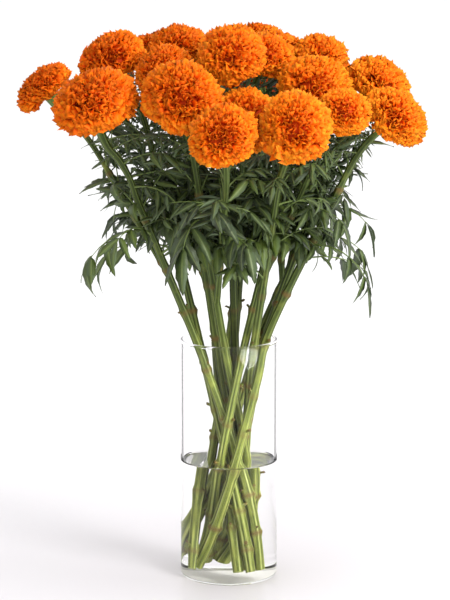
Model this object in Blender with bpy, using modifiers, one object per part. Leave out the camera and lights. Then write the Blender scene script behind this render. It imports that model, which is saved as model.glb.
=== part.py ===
"""Orange African marigolds in a clear cylinder vase, at real size in metres, +Z up.

The vase stands on z = 0 with its axis on the origin, half full of water. Each head is a
piece of its own that sits in a green cup. The cups end the leafy stems: thirteen of these
stand in the water, and a branch forks off eleven of them above the rim to carry a second head.
"""
import math

import bpy
import numpy as np
from mathutils import Vector

# The vase and its water
VASE_RADIUS = 0.050
VASE_HEIGHT = 0.250
VASE_WALL = 0.003
VASE_FLOOR = 0.012
VASE_FOOT_ROUND = 0.006
VASE_SIDES = 40
WATER_LEVEL = 0.122
GAP = 0.0003

# The stems
FOOT_RADIUS = 0.0050
TIP_RADIUS = 0.0031
BRANCH_SLIM = 0.84
STEM_SIDES = 5
STEM_CLEAR = 0.0024
STEM_CLEAR_ABOVE = 0.0050
TWIST_DEGREES = 120.0
TWIST_SPREAD = 30.0
CROSSED_STEMS = (16, 19)
CROSSED_TWIST = -0.90
CROSSED_FORWARD = 0.012
RIM_SPREAD = 0.26
FOOT_SPREAD = 1.45
FOOT_ASIDE = 0.007
STRAIGHT_TO = 0.280
STRAIGHT_PULL = 0.5
BRANCHES = {1: 2, 4: 6, 10: 22, 11: 9, 12: 7, 13: 8, 14: 24, 18: 16, 20: 3, 21: 5, 23: 17}
FORK_STEPS = (28, 31, 29, 30)
FORK_OPENS = 0.050
LEVEL_STEP = 0.010
ROUTE_ROUNDS = 1000
TOP_LEVEL = 0.540
RING_LEVELS = (0.046, 0.080, 0.114, 0.148, 0.182, 0.216, 0.252, 0.300, 0.350, 0.400, 0.450, 0.490)
NECK_DROP = 0.048
NECK_INWARD = 0.78
NECK_KEEP = 0.012

# The green cup under a head, as shares of the head's diameter
CUP_RADIUS = 0.115
CUP_LENGTH = 0.27
STALK_RADIUS = 0.052

# A head: the seat, the underside and the dome, as (radius, height) shares of its diameter
HEAD_PROFILE = ((0.11, 0.0), (0.31, 0.005), (0.435, 0.095), (0.45, 0.25),
                (0.365, 0.39), (0.21, 0.48), (0.07, 0.51))
HEAD_WIDEST = 0.19
HEAD_FLORETS = 11
FLORET_RAISE = 0.075
HEAD_CLEAR = 0.002
HEAD_REACH = (0.52, 0.37)
HEAD_FREEDOM = (0.25, 1.0, 0.15)

# Each head: the place of its widest ring, its diameter, and where its face looks,
# as degrees round from +X and up from level
HEADS = (
    ((-0.187, -0.005, 0.509), 0.062, 195, 50),
    ((-0.124, -0.098, 0.504), 0.083, 260, 56),
    ((-0.110, 0.000, 0.537), 0.067, 240, 50),
    ((-0.084, 0.085, 0.534), 0.062, 120, 74),
    ((-0.056, 0.055, 0.546), 0.068, 250, 74),
    ((-0.074, -0.010, 0.530), 0.062, 240, 50),
    ((-0.047, -0.112, 0.508), 0.081, 265, 40),
    ((0.004, -0.050, 0.545), 0.072, 268, 50),
    ((0.042, 0.005, 0.540), 0.060, 300, 50),
    ((0.036, 0.110, 0.546), 0.056, 80, 72),
    ((0.055, 0.072, 0.542), 0.058, 60, 76),
    ((-0.008, -0.158, 0.480), 0.068, 266, 38),
    ((0.014, -0.088, 0.488), 0.066, 275, 25),
    ((0.086, 0.050, 0.538), 0.060, 300, 66),
    ((0.064, -0.142, 0.484), 0.073, 274, 34),
    ((0.087, -0.045, 0.514), 0.072, 285, 42),
    ((0.148, 0.015, 0.514), 0.070, 320, 52),
    ((0.114, -0.075, 0.494), 0.052, 290, 30),
    ((0.164, -0.058, 0.485), 0.067, 312, 34),
    ((-0.125, 0.105, 0.503), 0.068, 130, 40),
    ((-0.040, 0.140, 0.515), 0.070, 100, 40),
    ((0.035, 0.175, 0.492), 0.068, 85, 28),
    ((0.105, 0.130, 0.505), 0.068, 55, 40),
    ((0.165, 0.080, 0.492), 0.066, 20, 35),
)

# The leaves
LEAVES_OUTSIDE = 2
LEAVES_INSIDE = 1
OUTSIDE_FROM = 0.115
LEAF_TRIES = 60
LEAF_LOWEST = 0.310
LEAF_SHORTEST = 0.070
LEAF_LONGEST = 0.110
LEAF_THICK = 0.0009
RIB_HALF = 0.0013
LEAFLET_STATIONS = (0.34, 0.56, 0.78)
LEAFLET_LENGTH = 0.38
LEAFLET_HALF = 0.068
LEAF_REACH = 0.150
LEAF_OVER_RIM = 0.040
LEAF_OVER_FORK = 0.030
LEAF_CLEAR = 0.0050
LEAF_TO_STEM = 0.0040
SEED = 24


def clear_scene():
    """Remove whatever the file opened with."""
    for old in list(bpy.data.objects):
        bpy.data.objects.remove(old, do_unlink=True)


def new_collection(name):
    """A collection of its own in the scene."""
    made = bpy.data.collections.new(name)
    bpy.context.scene.collection.children.link(made)
    return made


def material(name, color, roughness, transmission=0.0, ior=1.45):
    """A Principled finish."""
    made = bpy.data.materials.new(name)
    made.use_nodes = True
    shader = made.node_tree.nodes["Principled BSDF"]
    shader.inputs["Base Color"].default_value = (*color, 1.0)
    shader.inputs["Roughness"].default_value = roughness
    shader.inputs["Transmission Weight"].default_value = transmission
    shader.inputs["IOR"].default_value = ior
    return made


def add_object(name, mesh, collection, finish):
    """Put a mesh in the scene as a named object with one finish."""
    made = bpy.data.objects.new(name, mesh)
    mesh.materials.clear()
    mesh.materials.append(finish)
    collection.objects.link(made)
    return made


def mesh_from(name, points, faces):
    """A mesh from points and faces that a rule worked out."""
    mesh = bpy.data.meshes.new(name)
    mesh.from_pydata([tuple(point) for point in points], [], faces)
    mesh.update()
    return mesh


def apply_modifiers(item):
    """Freeze an object's modifiers into its mesh."""
    graph = bpy.context.evaluated_depsgraph_get()
    graph.update()
    frozen = bpy.data.meshes.new_from_object(item.evaluated_get(graph))
    item.modifiers.clear()
    item.data = frozen


def arc(center, radius, start, end, steps):
    """Points on a quarter round, in the plane of a turned profile."""
    turns = np.radians(np.linspace(start, end, steps + 1))
    return [(center[0] + radius * math.cos(turn), center[1] + radius * math.sin(turn)) for turn in turns]


def make_vase(collection, finish):
    """A glass cylinder with a thick bottom, turned from its profile."""
    inner = VASE_RADIUS - VASE_WALL
    lip = VASE_WALL / 2
    foot = VASE_FOOT_ROUND
    profile = arc((VASE_RADIUS - lip, VASE_HEIGHT - lip), lip, 90, 0, 2)
    profile += arc((VASE_RADIUS - foot, foot), foot, 0, -90, 3)
    profile = [(0.0, 0.0)] + profile[::-1]
    profile += arc((VASE_RADIUS - lip, VASE_HEIGHT - lip), lip, 135, 180, 1)
    profile += [(inner, VASE_FLOOR), (0.0, VASE_FLOOR)]
    points = [(radius, 0.0, height) for radius, height in profile[::-1]]
    mesh = bpy.data.meshes.new("vase")
    mesh.from_pydata(points, [(k, k + 1) for k in range(len(points) - 1)], [])
    vase = add_object("vase", mesh, collection, finish)
    turn = vase.modifiers.new("turn", "SCREW")
    turn.steps = VASE_SIDES
    turn.render_steps = VASE_SIDES
    turn.use_merge_vertices = True
    turn.merge_threshold = 0.0001
    turn.use_normal_calculate = True
    return vase


def facing(azimuth, elevation):
    """The unit vector for degrees round and up."""
    around, up = math.radians(azimuth), math.radians(elevation)
    return np.array((math.cos(up) * math.cos(around), math.cos(up) * math.sin(around), math.sin(up)))


def place_heads():
    """Heads that would overlap are moved apart, mostly in depth, as the stems would let them."""
    centers = np.array([place for place, _, _, _ in HEADS])
    sizes = np.array([size for _, size, _, _ in HEADS])
    axes = np.array([facing(azimuth, elevation) for _, _, azimuth, elevation in HEADS])
    freedom = np.array(HEAD_FREEDOM)
    for _ in range(300):
        apart = centers[None, :, :] - centers[:, None, :]
        away = np.linalg.norm(apart, axis=2) + np.eye(len(HEADS))
        along = apart / away[:, :, None]
        reach = head_reach(along, axes[:, None, :], sizes[:, None])
        reach = reach + head_reach(along, axes[None, :, :], sizes[None, :])
        short = np.clip(reach + HEAD_CLEAR - away, 0.0, None) * (1 - np.eye(len(HEADS)))
        centers -= 0.25 * (along * short[:, :, None]).sum(axis=1) * freedom
    return centers, sizes, axes


def head_reach(along, axis, size):
    """How far a head reaches from its centre in a direction: a flattened ball."""
    tilt = (along * axis).sum(axis=-1) ** 2
    return size * np.sqrt(HEAD_REACH[0] ** 2 * (1 - tilt) + HEAD_REACH[1] ** 2 * tilt)


def stem_radius(height):
    """The stem's radius at a height above the table."""
    share = np.clip(height / 0.45, 0.0, 1.0)
    return FOOT_RADIUS + (TIP_RADIUS - FOOT_RADIUS) * share


def neck_ends(centers, sizes, axes):
    """Where each cup starts, and the point below it and nearer the axis that the stem climbs to."""
    seats = centers - axes * (HEAD_WIDEST * sizes)[:, None] - axes * GAP
    bases = seats - axes * (CUP_LENGTH * sizes)[:, None]
    tops = bases * (NECK_INWARD, NECK_INWARD, 1) - np.array((0, 0, NECK_DROP))
    return seats, bases, tops


def neck_places(levels, tops, bases, seats):
    """Where each bent neck is at each level, between the top of the straight stem and the head."""
    knots = np.stack((tops, bases, seats), axis=1)
    return np.array([[[np.interp(z, neck[:, 2], neck[:, axis]) for axis in (0, 1)] for z in levels]
                     for neck in knots])


def stem_starts(levels):
    """Each stem's parent, which is itself unless it is a branch, and the height where it starts."""
    numbers = range(1, len(HEADS) + 1)
    parents = np.array([BRANCHES.get(number, number) - 1 for number in numbers])
    forks = np.array([levels[FORK_STEPS[number % len(FORK_STEPS)]] for number in numbers])
    return parents, np.where(parents == np.arange(len(HEADS)), levels[0], forks)


def branch_lines(ways, levels, tops, parents, starts):
    """Each branch follows its parent up to the fork, and from there a straight line to its own top."""
    for k in np.flatnonzero(parents != np.arange(len(parents))):
        fork = int(np.searchsorted(levels, starts[k]))
        share = np.clip((levels - levels[fork]) / (tops[k, 2] - levels[fork]), 0.0, 1.0)[:, None]
        line = ways[parents[k], fork] * (1 - share) + tops[k, :2] * share
        ways[k] = np.where(share > 0, line, ways[parents[k]])
    return ways


def route_stems(centers, sizes, tops, bases, seats):
    """The stems' places at each level: straight lines, then pushed clear of each other, glass and heads.

    Most stems lean one way round the bundle; the few crossed ones lean the other way, in front of them.
    Up to just over the rim each is drawn towards the nearest cubic curve, as stiff stems bend.
    """
    draws = np.random.default_rng(SEED)
    count = len(tops)
    levels = np.arange(VASE_FLOOR + GAP, TOP_LEVEL, LEVEL_STEP)
    rim = tops[:, :2] * RIM_SPREAD
    crossed = np.isin(np.arange(1, count + 1), CROSSED_STEMS)
    twist = np.radians(TWIST_DEGREES + TWIST_SPREAD * draws.uniform(-1, 1, count))
    twist = twist * np.where(crossed, CROSSED_TWIST, 1.0)
    turned = np.stack((np.cos(twist) * rim[:, 0] - np.sin(twist) * rim[:, 1],
                       np.sin(twist) * rim[:, 0] + np.cos(twist) * rim[:, 1]), axis=1)
    feet = turned * FOOT_SPREAD + np.array((FOOT_ASIDE, 0))
    in_vase = np.clip((levels - levels[0]) / (VASE_HEIGHT - levels[0]), 0.0, 1.0)
    climb = np.clip((levels[None, :] - VASE_HEIGHT) / (tops[:, 2:3] - VASE_HEIGHT), 0.0, 1.0)
    ways = feet[:, None, :] * (1 - in_vase)[None, :, None] + rim[:, None, :] * in_vase[None, :, None]
    ways = ways + (tops[:, None, :2] - rim[:, None, :]) * climb[:, :, None]
    ways[:, :, 1] -= CROSSED_FORWARD * crossed[:, None] * np.sin(math.pi * in_vase)[None, :]
    parents, starts = stem_starts(levels)
    ways = branch_lines(ways, levels, tops, parents, starts)
    shared = levels[None, :] <= starts[:, None]
    held = levels[None, :] >= tops[:, 2:3]
    there = (levels[None, :] < seats[:, 2:3]) & (levels[None, :] >= starts[:, None])
    necks = neck_places(levels, tops, bases, seats)
    radii = stem_radius(levels)
    above = np.clip((levels - VASE_HEIGHT) / 0.05, 0.0, 1.0)
    clear = radii * (1 + 0.25 * above) + (STEM_CLEAR + (STEM_CLEAR_ABOVE - STEM_CLEAR) * above) / 2
    clear = np.where(held, NECK_KEEP, clear[None, :])
    clear = clear[None, :, :] + clear[:, None, :]
    later = np.maximum(starts[:, None], starts[None, :])[:, :, None]
    kin = (parents[:, None] == parents[None, :])[:, :, None]
    clear = np.where(kin, clear * np.clip((levels - later) / FORK_OPENS, 0.0, 1.0), clear)
    bound = np.where(levels <= VASE_HEIGHT + 0.004, VASE_RADIUS - VASE_WALL - radii * 1.08 - 2 * GAP, 1.0)
    ball = (0.53 * sizes[None, :]) ** 2 - (levels[:, None] - centers[None, :, 2]) ** 2
    ball = np.where(ball > 0, np.sqrt(np.abs(ball)) + radii[:, None] + 0.003, 0.0)
    low = levels < STRAIGHT_TO
    powers = np.vander((levels[low] - levels[0]) / (STRAIGHT_TO - levels[0]), 4)
    smooth = powers @ np.linalg.pinv(powers)
    for turn in range(ROUTE_ROUNDS):
        if turn < 0.8 * ROUTE_ROUNDS:
            ways[:, low] += STRAIGHT_PULL * (np.einsum("lm,smk->slk", smooth, ways[:, low]) - ways[:, low])
        bend = np.zeros_like(ways)
        bend[:, 1:-1] = (ways[:, :-2] + ways[:, 2:]) / 2 - ways[:, 1:-1]
        bend[:, 0] = (2 * ways[:, 1] - ways[:, 2] - ways[:, 0]) * 0.2
        ways += bend * (0.3 if turn < 0.8 * ROUTE_ROUNDS else 0.03)
        apart = ways[None, :, :, :] - ways[:, None, :, :]
        away = np.linalg.norm(apart, axis=3) + 1e-9
        short = np.clip(clear - away, 0.0, None) * (there[None, :, :] & there[:, None, :])
        short[range(count), range(count)] = 0.0
        ways -= 0.4 * (apart / away[..., None] * short[..., None]).sum(axis=1)
        off = ways[:, :, None, :] - centers[None, None, :, :2]
        far = np.linalg.norm(off, axis=3) + 1e-9
        shove = np.clip(ball[None] - far, 0.0, None) * ~held[:, :, None]
        ways += 0.3 * (off / far[..., None] * shove[..., None]).sum(axis=2)
        out = np.linalg.norm(ways, axis=2) + 1e-9
        ways *= np.minimum(1.0, bound[None, :] / out)[..., None]
        ways = np.where(held[:, :, None], necks, ways)
        ways = np.where(shared[:, :, None], ways[parents], ways)
    return levels, ways, parents, starts


def stem_path(levels, way, start, seat, base, top, size):
    """A stem's centre line and radius from its foot or its fork to the mouth of its cup."""
    rings = [start] + [level for level in RING_LEVELS if start + 0.018 < level < top[2] - 0.018]
    slim = BRANCH_SLIM if start > VASE_HEIGHT else 1.0
    points = [(np.interp(z, levels, way[:, 0]), np.interp(z, levels, way[:, 1]), z) for z in rings]
    radii = [float(stem_radius(z)) * slim for z in rings]
    axis = (seat - base) / np.linalg.norm(seat - base)
    climb = (top - points[-1]) / np.linalg.norm(top - points[-1])
    reach = np.linalg.norm(base - top) / 2.6
    pulls = (top, top + climb * reach, base - axis * reach, base)
    for share in (0.0, 0.36, 0.68, 1.0):
        weights = ((1 - share) ** 3, 3 * share * (1 - share) ** 2, 3 * share ** 2 * (1 - share), share ** 3)
        points.append(tuple(sum(weight * pull for weight, pull in zip(weights, pulls))))
        radii.append(TIP_RADIUS * slim * (1 - share) + STALK_RADIUS * size * share)
    points += [tuple(base + axis * 0.25 * CUP_LENGTH * size), tuple(seat)]
    radii += [CUP_RADIUS * size * 0.88, CUP_RADIUS * size]
    return np.array(points), [float(radius) for radius in radii]


def tube(points, radii, sides):
    """Rings round a centre line, level in the vase and square to the line above it."""
    tangents = np.gradient(points, axis=0)
    tangents[-1] = points[-1] - points[-2]
    verts, faces = [], []
    side = Vector((1, 0, 0))
    for k, (point, radius) in enumerate(zip(points, radii)):
        lean = min(1.0, max(0.0, (point[2] - 0.20) / 0.10))
        normal = (Vector((0, 0, 1)).lerp(Vector(tangents[k]).normalized(), lean)).normalized()
        side = (side - normal * side.dot(normal)).normalized()
        other = normal.cross(side)
        for j in range(sides):
            turn = 2 * math.pi * j / sides
            verts.append(Vector(point) + radius * (math.cos(turn) * side + math.sin(turn) * other))
    last = len(points) - 1
    for k in range(last):
        for j in range(sides):
            a, b = k * sides + j, k * sides + (j + 1) % sides
            faces += [(a, b, b + sides), (a, b + sides, a + sides)]
    faces.append(tuple(range(sides))[::-1])
    faces.append(tuple(range(last * sides, last * sides + sides)))
    return verts, faces


def leaf_sheet(root, azimuth, rise, droop, length):
    """A pinnate leaf as one thin arched sheet: a narrow rib with lance-shaped leaflets on it."""
    steps = 12
    shares = np.linspace(0, 1, steps + 1)
    slope = np.radians(rise - droop * shares ** 1.2)
    ahead = np.concatenate(([0], np.cumsum(np.cos(slope[:-1]) / steps))) * length
    up = np.concatenate(([0], np.cumsum(np.sin(slope[:-1]) / steps))) * length
    out = np.array((math.cos(azimuth), math.sin(azimuth), 0.0))
    across = np.array((-math.sin(azimuth), math.cos(azimuth), 0.0))

    def rib(share):
        return root + out * np.interp(share, shares, ahead) + np.array((0, 0, np.interp(share, shares, up)))

    def heading(share):
        turn = np.interp(share, shares, slope)
        return out * math.cos(turn) + np.array((0, 0, math.sin(turn)))

    points, faces = [], []
    stops = [0.0]
    for station in LEAFLET_STATIONS:
        stops += [station - 0.045, station + 0.035]
    for stop in stops:
        points += [rib(stop) + across * RIB_HALF, rib(stop) - across * RIB_HALF]
    for k in range(len(stops) - 1):
        a, b = 2 * k, 2 * k + 1
        faces += [(a, b, b + 2), (a, b + 2, a + 2)]
    for k, station in enumerate(LEAFLET_STATIONS):
        reach = LEAFLET_LENGTH * length * (1.0 - 0.25 * abs(station - 0.5))
        for side in (1, -1):
            near = 2 + 4 * k + (0 if side > 0 else 1)
            way = heading(station) * 0.72 + across * side * 0.69
            flat = heading(station) * 0.69 - across * side * 0.72
            start = rib(station) + across * side * RIB_HALF
            sag = np.array((0, 0, -0.22 * reach))
            wide = start + way * reach * 0.45 + sag * 0.25
            tip = start + way * reach + sag
            points += [wide - flat * LEAFLET_HALF * length, wide + flat * LEAFLET_HALF * length, tip]
            low, high, end = len(points) - 3, len(points) - 2, len(points) - 1
            fan = [(near, low, near + 2), (near + 2, low, high), (high, low, end)]
            faces += [face if side < 0 else face[::-1] for face in fan]
    wide, tip = rib(0.93), rib(1.12)
    points += [wide + across * LEAFLET_HALF * length, wide - across * LEAFLET_HALF * length, tip]
    last = 2 * len(stops)
    end = len(points)
    faces += [(last - 2, last - 1, end - 3), (end - 3, last - 1, end - 2), (end - 3, end - 2, end - 1)]
    return np.array(points), faces


def sheet_samples(points, faces):
    """Points all over a sheet, close enough together that nothing passes between them."""
    corners = np.array([[points[index] for index in face] for face in faces])
    middles = (corners + np.roll(corners, 1, axis=1)) / 2
    return np.concatenate((points, middles.reshape(-1, 3), corners.mean(axis=1)))


def grow_leaves(levels, ways, starts, centers, sizes, tops, seats):
    """Draw leaves for each stem and keep those that clear every stem, head and other leaf."""
    draws = np.random.default_rng(SEED + 1)
    count = len(tops)
    fine = np.repeat(levels[None, :], count, axis=0)
    stems = np.concatenate((ways, fine[:, :, None]), axis=2)
    alive = (levels[None, :] < seats[:, 2:3]) & (levels[None, :] >= starts[:, None])
    keep = np.where(levels[None, :] < tops[:, 2:3], FOOT_RADIUS + LEAF_TO_STEM + 0.001, NECK_KEEP)
    grown = [[] for _ in range(count)]
    taken = np.zeros((0, 3))
    wanted = np.where(np.hypot(tops[:, 0], tops[:, 1]) > OUTSIDE_FROM, LEAVES_OUTSIDE, LEAVES_INSIDE)
    for turn in range(LEAVES_OUTSIDE):
        for stem in np.flatnonzero(wanted > turn):
            for _ in range(LEAF_TRIES):
                lowest = max(LEAF_LOWEST, starts[stem] + LEAF_OVER_FORK)
                height = draws.uniform(lowest, tops[stem, 2] - 0.01)
                place = np.array([np.interp(height, levels, ways[stem, :, axis]) for axis in (0, 1)])
                azimuth = math.atan2(place[1], place[0]) + math.radians(draws.normal(0, 55))
                rise, droop = draws.uniform(0, 50), draws.uniform(50, 140)
                length = draws.uniform(LEAF_SHORTEST, LEAF_LONGEST)
                points, faces = leaf_sheet(np.array((*place, height)), azimuth, rise, droop, length)
                samples = sheet_samples(points, faces)
                if fits(samples, stem, stems, alive, keep, centers, sizes, taken, length):
                    grown[stem].append((points, faces))
                    taken = np.concatenate((taken, samples))
                    break
    return grown


def fits(samples, stem, stems, alive, keep, centers, sizes, taken, length):
    """Whether a leaf's points are clear of the stems, the heads and the leaves already there."""
    if samples[:, 2].min() < VASE_HEIGHT + LEAF_OVER_RIM:
        return False
    if np.hypot(samples[:, 0], samples[:, 1]).max() > LEAF_REACH:
        return False
    off = np.linalg.norm(samples[:, None, :] - centers[None, :, :], axis=2)
    if (off < 0.56 * sizes[None, :] + 0.002).any():
        return False
    rest = np.delete(alive, stem, axis=0)
    others, room = np.delete(stems, stem, axis=0)[rest], np.delete(keep, stem, axis=0)[rest]
    if (np.linalg.norm(samples[:, None, :] - others[None, :, :], axis=2) < room[None, :]).any():
        return False
    own = np.linalg.norm(samples[:, None, :] - stems[stem][None, :, :], axis=2).min(axis=1)
    beyond = np.linalg.norm(samples - samples[0], axis=1) > 0.3 * length
    if (own[beyond] < 0.008).any():
        return False
    if len(taken) == 0:
        return True
    return np.linalg.norm(samples[:, None, :] - taken[None, :, :], axis=2).min() > LEAF_CLEAR


def make_stem(name, paths, leaves, collection, scraps, finish):
    """A stem with its cup, joined by one union to its branch and its leaves."""
    verts, faces = tube(*paths[0], STEM_SIDES)
    stem = add_object(name, mesh_from(name, verts, faces), collection, finish)
    for path in paths[1:]:
        verts, faces = tube(*path, STEM_SIDES)
        add_object(f"{name}_branch", mesh_from("branch", verts, faces), scraps, finish)
    for spot, (sheet, panes) in enumerate(leaves):
        leaf = add_object(f"{name}_leaf_{spot}", mesh_from("leaf", sheet, panes), scraps, finish)
        thick = leaf.modifiers.new("thick", "SOLIDIFY")
        thick.thickness = LEAF_THICK
        thick.offset = 0.0
        apply_modifiers(leaf)
    if scraps.objects:
        join = stem.modifiers.new("join", "BOOLEAN")
        join.operation = "UNION"
        join.operand_type = "COLLECTION"
        join.collection = scraps
        join.solver = "EXACT"
        apply_modifiers(stem)
    for scrap in list(scraps.objects):
        bpy.data.objects.remove(scrap, do_unlink=True)
    return stem


def make_head(name, seat, axis, size, collection, finish, seed):
    """A pompom: a closed dome whose skin is rings of florets, each raised to a point."""
    draws = np.random.default_rng(seed)
    up = Vector(axis).normalized()
    side = up.orthogonal().normalized()
    other = up.cross(side)
    lift = Vector(axis) * GAP
    rings = []
    for row, (radius, height) in enumerate(HEAD_PROFILE):
        ring = []
        for j in range(HEAD_FLORETS):
            turn = 2 * math.pi * (j + 0.5 * (row % 2)) / HEAD_FLORETS
            wave = 1.0 if row < 1 else 1.0 + 0.05 * draws.uniform(-1, 1)
            out = (math.cos(turn) * side + math.sin(turn) * other) * radius * size * wave
            ring.append(Vector(seat) + lift + out + up * height * size)
        rings.append(ring)
    middle = Vector(seat) + lift + up * 0.27 * size
    return add_object(name, head_mesh(name, rings, middle, up, size, draws), collection, finish)


def head_mesh(name, rings, middle, up, size, draws):
    """The rings joined by diamonds that stand out from the dome, closed at the seat and the crown."""
    sides, rows = HEAD_FLORETS, len(rings)
    verts = [point for ring in rings for point in ring]
    faces = [tuple(range(sides))[::-1]]
    for j in range(sides):
        faces.append((j, (j + 1) % sides, sides + j))
        first, second = (rows - 1) * sides + j, (rows - 1) * sides + (j + 1) % sides
        below = (rows - 2) * sides + (j + (rows - 1) % 2) % sides
        faces.append((second, first, below) if (rows - 1) % 2 else (second, first, (rows - 2) * sides + j))
    for row in range(1, rows - 1):
        for j in range(sides):
            left = row * sides + j
            right = row * sides + (j + 1) % sides
            mid = (j + row % 2) % sides
            low = (row - 1) * sides + (mid if row % 2 else j)
            high = (row + 1) * sides + (mid if row % 2 else j)
            center = sum((verts[k] for k in (left, right, low, high)), Vector()) / 4
            out = (center - middle).normalized()
            raise_by = FLORET_RAISE * size * draws.uniform(0.6, 1.4)
            verts.append(center + (out + 0.35 * up).normalized() * raise_by)
            tip = len(verts) - 1
            faces += [(low, right, tip), (right, high, tip), (high, left, tip), (left, low, tip)]
    crown = sum((verts[(rows - 1) * sides + j] for j in range(sides)), Vector()) / sides
    verts.append(crown + up * 0.01 * size)
    for j in range(sides):
        faces.append(((rows - 1) * sides + j, (rows - 1) * sides + (j + 1) % sides, len(verts) - 1))
    return mesh_from(name, verts, faces)


def make_water(paths, collection, cutters, finish):
    """Water up to its level, with a plain hole for each stem that stands in it."""
    height = WATER_LEVEL - VASE_FLOOR - GAP
    radius = VASE_RADIUS - VASE_WALL - GAP
    bpy.ops.mesh.primitive_cylinder_add(vertices=VASE_SIDES, radius=radius, depth=height,
                                        location=(0, 0, VASE_FLOOR + GAP + height / 2))
    water = bpy.context.object
    water.name = "water"
    water.data.materials.append(finish)
    for holder in list(water.users_collection):
        holder.objects.unlink(water)
    collection.objects.link(water)
    for points, radii in paths:
        low = points[0] + (points[0] - points[1]) * 0.1
        above = int(np.argmax(points[:, 2] > WATER_LEVEL)) + 1
        hole = np.concatenate(([low], points[1:above]))
        verts, faces = tube(hole, [radius + 1.2 * GAP for radius in radii[:above]], STEM_SIDES)
        cutter = add_object("stem_hole", mesh_from("stem_hole", verts, faces), cutters, finish)
        cutter.hide_render = True
        cutter.display_type = "WIRE"
    cut = water.modifiers.new("holes", "BOOLEAN")
    cut.operation = "DIFFERENCE"
    cut.operand_type = "COLLECTION"
    cut.collection = cutters
    cut.solver = "EXACT"
    return water


def main():
    """Build the vase, the water and the flowers."""
    clear_scene()
    whole = new_collection("marigold_vase")
    cutters = new_collection("cutters")
    scraps = new_collection("leaves_to_join")
    glass = material("clear_glass", (0.95, 0.97, 0.97), 0.02, 1.0, 1.50)
    wet = material("clear_water", (0.93, 0.97, 0.96), 0.01, 1.0, 1.33)
    green = material("stem_and_leaf_green", (0.13, 0.22, 0.05), 0.55)
    orange = material("petal_orange", (0.85, 0.17, 0.01), 0.60)
    centers, sizes, axes = place_heads()
    seats, bases, tops = neck_ends(centers, sizes, axes)
    levels, ways, parents, starts = route_stems(centers, sizes, tops, bases, seats)
    grown = grow_leaves(levels, ways, starts, centers, sizes, tops, seats)
    make_vase(whole, glass)
    numbers = np.arange(len(HEADS))
    paths = [stem_path(levels, ways[k], starts[k], seats[k], bases[k], tops[k], sizes[k]) for k in numbers]
    mains = np.flatnonzero(parents == numbers)
    for k in mains:
        own = [k] + [m for m in numbers if parents[m] == k and m != k]
        leaves = [leaf for m in own for leaf in grown[m]]
        make_stem(f"stem_{k + 1:02d}", [paths[m] for m in own], leaves, whole, scraps, green)
    for k in numbers:
        make_head(f"bloom_{k + 1:02d}", seats[k], axes[k], float(sizes[k]), whole, orange, SEED + 100 + k)
    make_water([paths[k] for k in mains], whole, cutters, wet)
    bpy.data.collections.remove(scraps)


main()
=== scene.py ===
# %% [markdown]
# A clear glass cylinder vase holds a full bunch of African marigolds. The construction model fixes where the
# vase stands, where each stem runs and where each flower head sits. This script dresses it: real glass,
# water, ribbed stems, cut leaves and ruffled flower heads, all in metres with +Z up.

# %% Load the construction model
import math

import bpy
import numpy as np
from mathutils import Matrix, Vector


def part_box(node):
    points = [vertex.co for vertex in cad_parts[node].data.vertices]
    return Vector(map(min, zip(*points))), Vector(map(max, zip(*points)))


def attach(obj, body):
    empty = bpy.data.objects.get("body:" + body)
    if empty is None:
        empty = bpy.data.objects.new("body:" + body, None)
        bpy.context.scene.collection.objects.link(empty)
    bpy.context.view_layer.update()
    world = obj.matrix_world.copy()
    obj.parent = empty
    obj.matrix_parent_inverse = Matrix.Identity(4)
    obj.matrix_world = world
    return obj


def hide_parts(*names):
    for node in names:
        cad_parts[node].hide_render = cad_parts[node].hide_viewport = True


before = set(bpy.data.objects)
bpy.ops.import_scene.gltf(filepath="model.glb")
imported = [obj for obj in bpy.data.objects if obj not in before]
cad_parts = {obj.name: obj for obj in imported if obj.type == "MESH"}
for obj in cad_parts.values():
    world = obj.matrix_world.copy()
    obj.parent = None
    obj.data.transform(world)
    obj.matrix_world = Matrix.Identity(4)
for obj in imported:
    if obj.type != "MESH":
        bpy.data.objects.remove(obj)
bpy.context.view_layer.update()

# %% [markdown]
# Colours are picked as sRGB hex values, as a picture editor shows them. Blender's shaders count in linear
# light, so one function turns the hex value into that. A second one adds a shader node with its settings and
# links and gives back one of its outputs, so that a material reads as a list of nodes.

# %% Colour and node helpers
def linear(code):
    """An sRGB hex value as linear light, with full alpha."""
    parts = [int(code[k:k + 2], 16) / 255 for k in (1, 3, 5)]
    return [part / 12.92 if part <= 0.04045 else ((part + 0.055) / 1.055) ** 2.4 for part in parts] + [1.0]


def add_node(tree, kind, settings=None, links=None, output=0):
    """A node's output; settings are its properties, socket values or ramp stops, links are its inputs.

    The kind is the node's type without the word ShaderNode, which all of them start with.
    """
    node = tree.nodes.new("ShaderNode" + kind)
    for name, value in (settings or {}).items():
        if name == "stops":
            elements = node.color_ramp.elements
            while len(elements) < len(value):
                elements.new(0.5)
            for element, (place, code) in zip(elements, value):
                element.position, element.color = place, linear(code)
        elif isinstance(name, str) and hasattr(node, name):
            setattr(node, name, value)
        else:
            node.inputs[name].default_value = value
    for name, source in (links or {}).items():
        tree.links.new(source, node.inputs[name])
    return node.outputs[output]


def new_material(name, **values):
    """A material with one Principled shader; values are set on the shader's sockets."""
    made = bpy.data.materials.new(name)
    made.use_nodes = True
    shader = made.node_tree.nodes["Principled BSDF"]
    for socket, value in values.items():
        shader.inputs[socket.replace("_", " ")].default_value = value
    return made, made.node_tree, shader


print("petal orange in linear light", [round(value, 3) for value in linear("#f07814")])

# %% [markdown]
# The picture is a white studio shot. The camera is far away with a long lens, so the sides of the vase stay
# upright, and it looks down at about ten degrees. A pale floor runs far behind the vase. The light is a
# bright even surround, as from large white walls, with soft boxes at the front right and above. A low strip
# of light only makes the glint on the glass.

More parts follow.
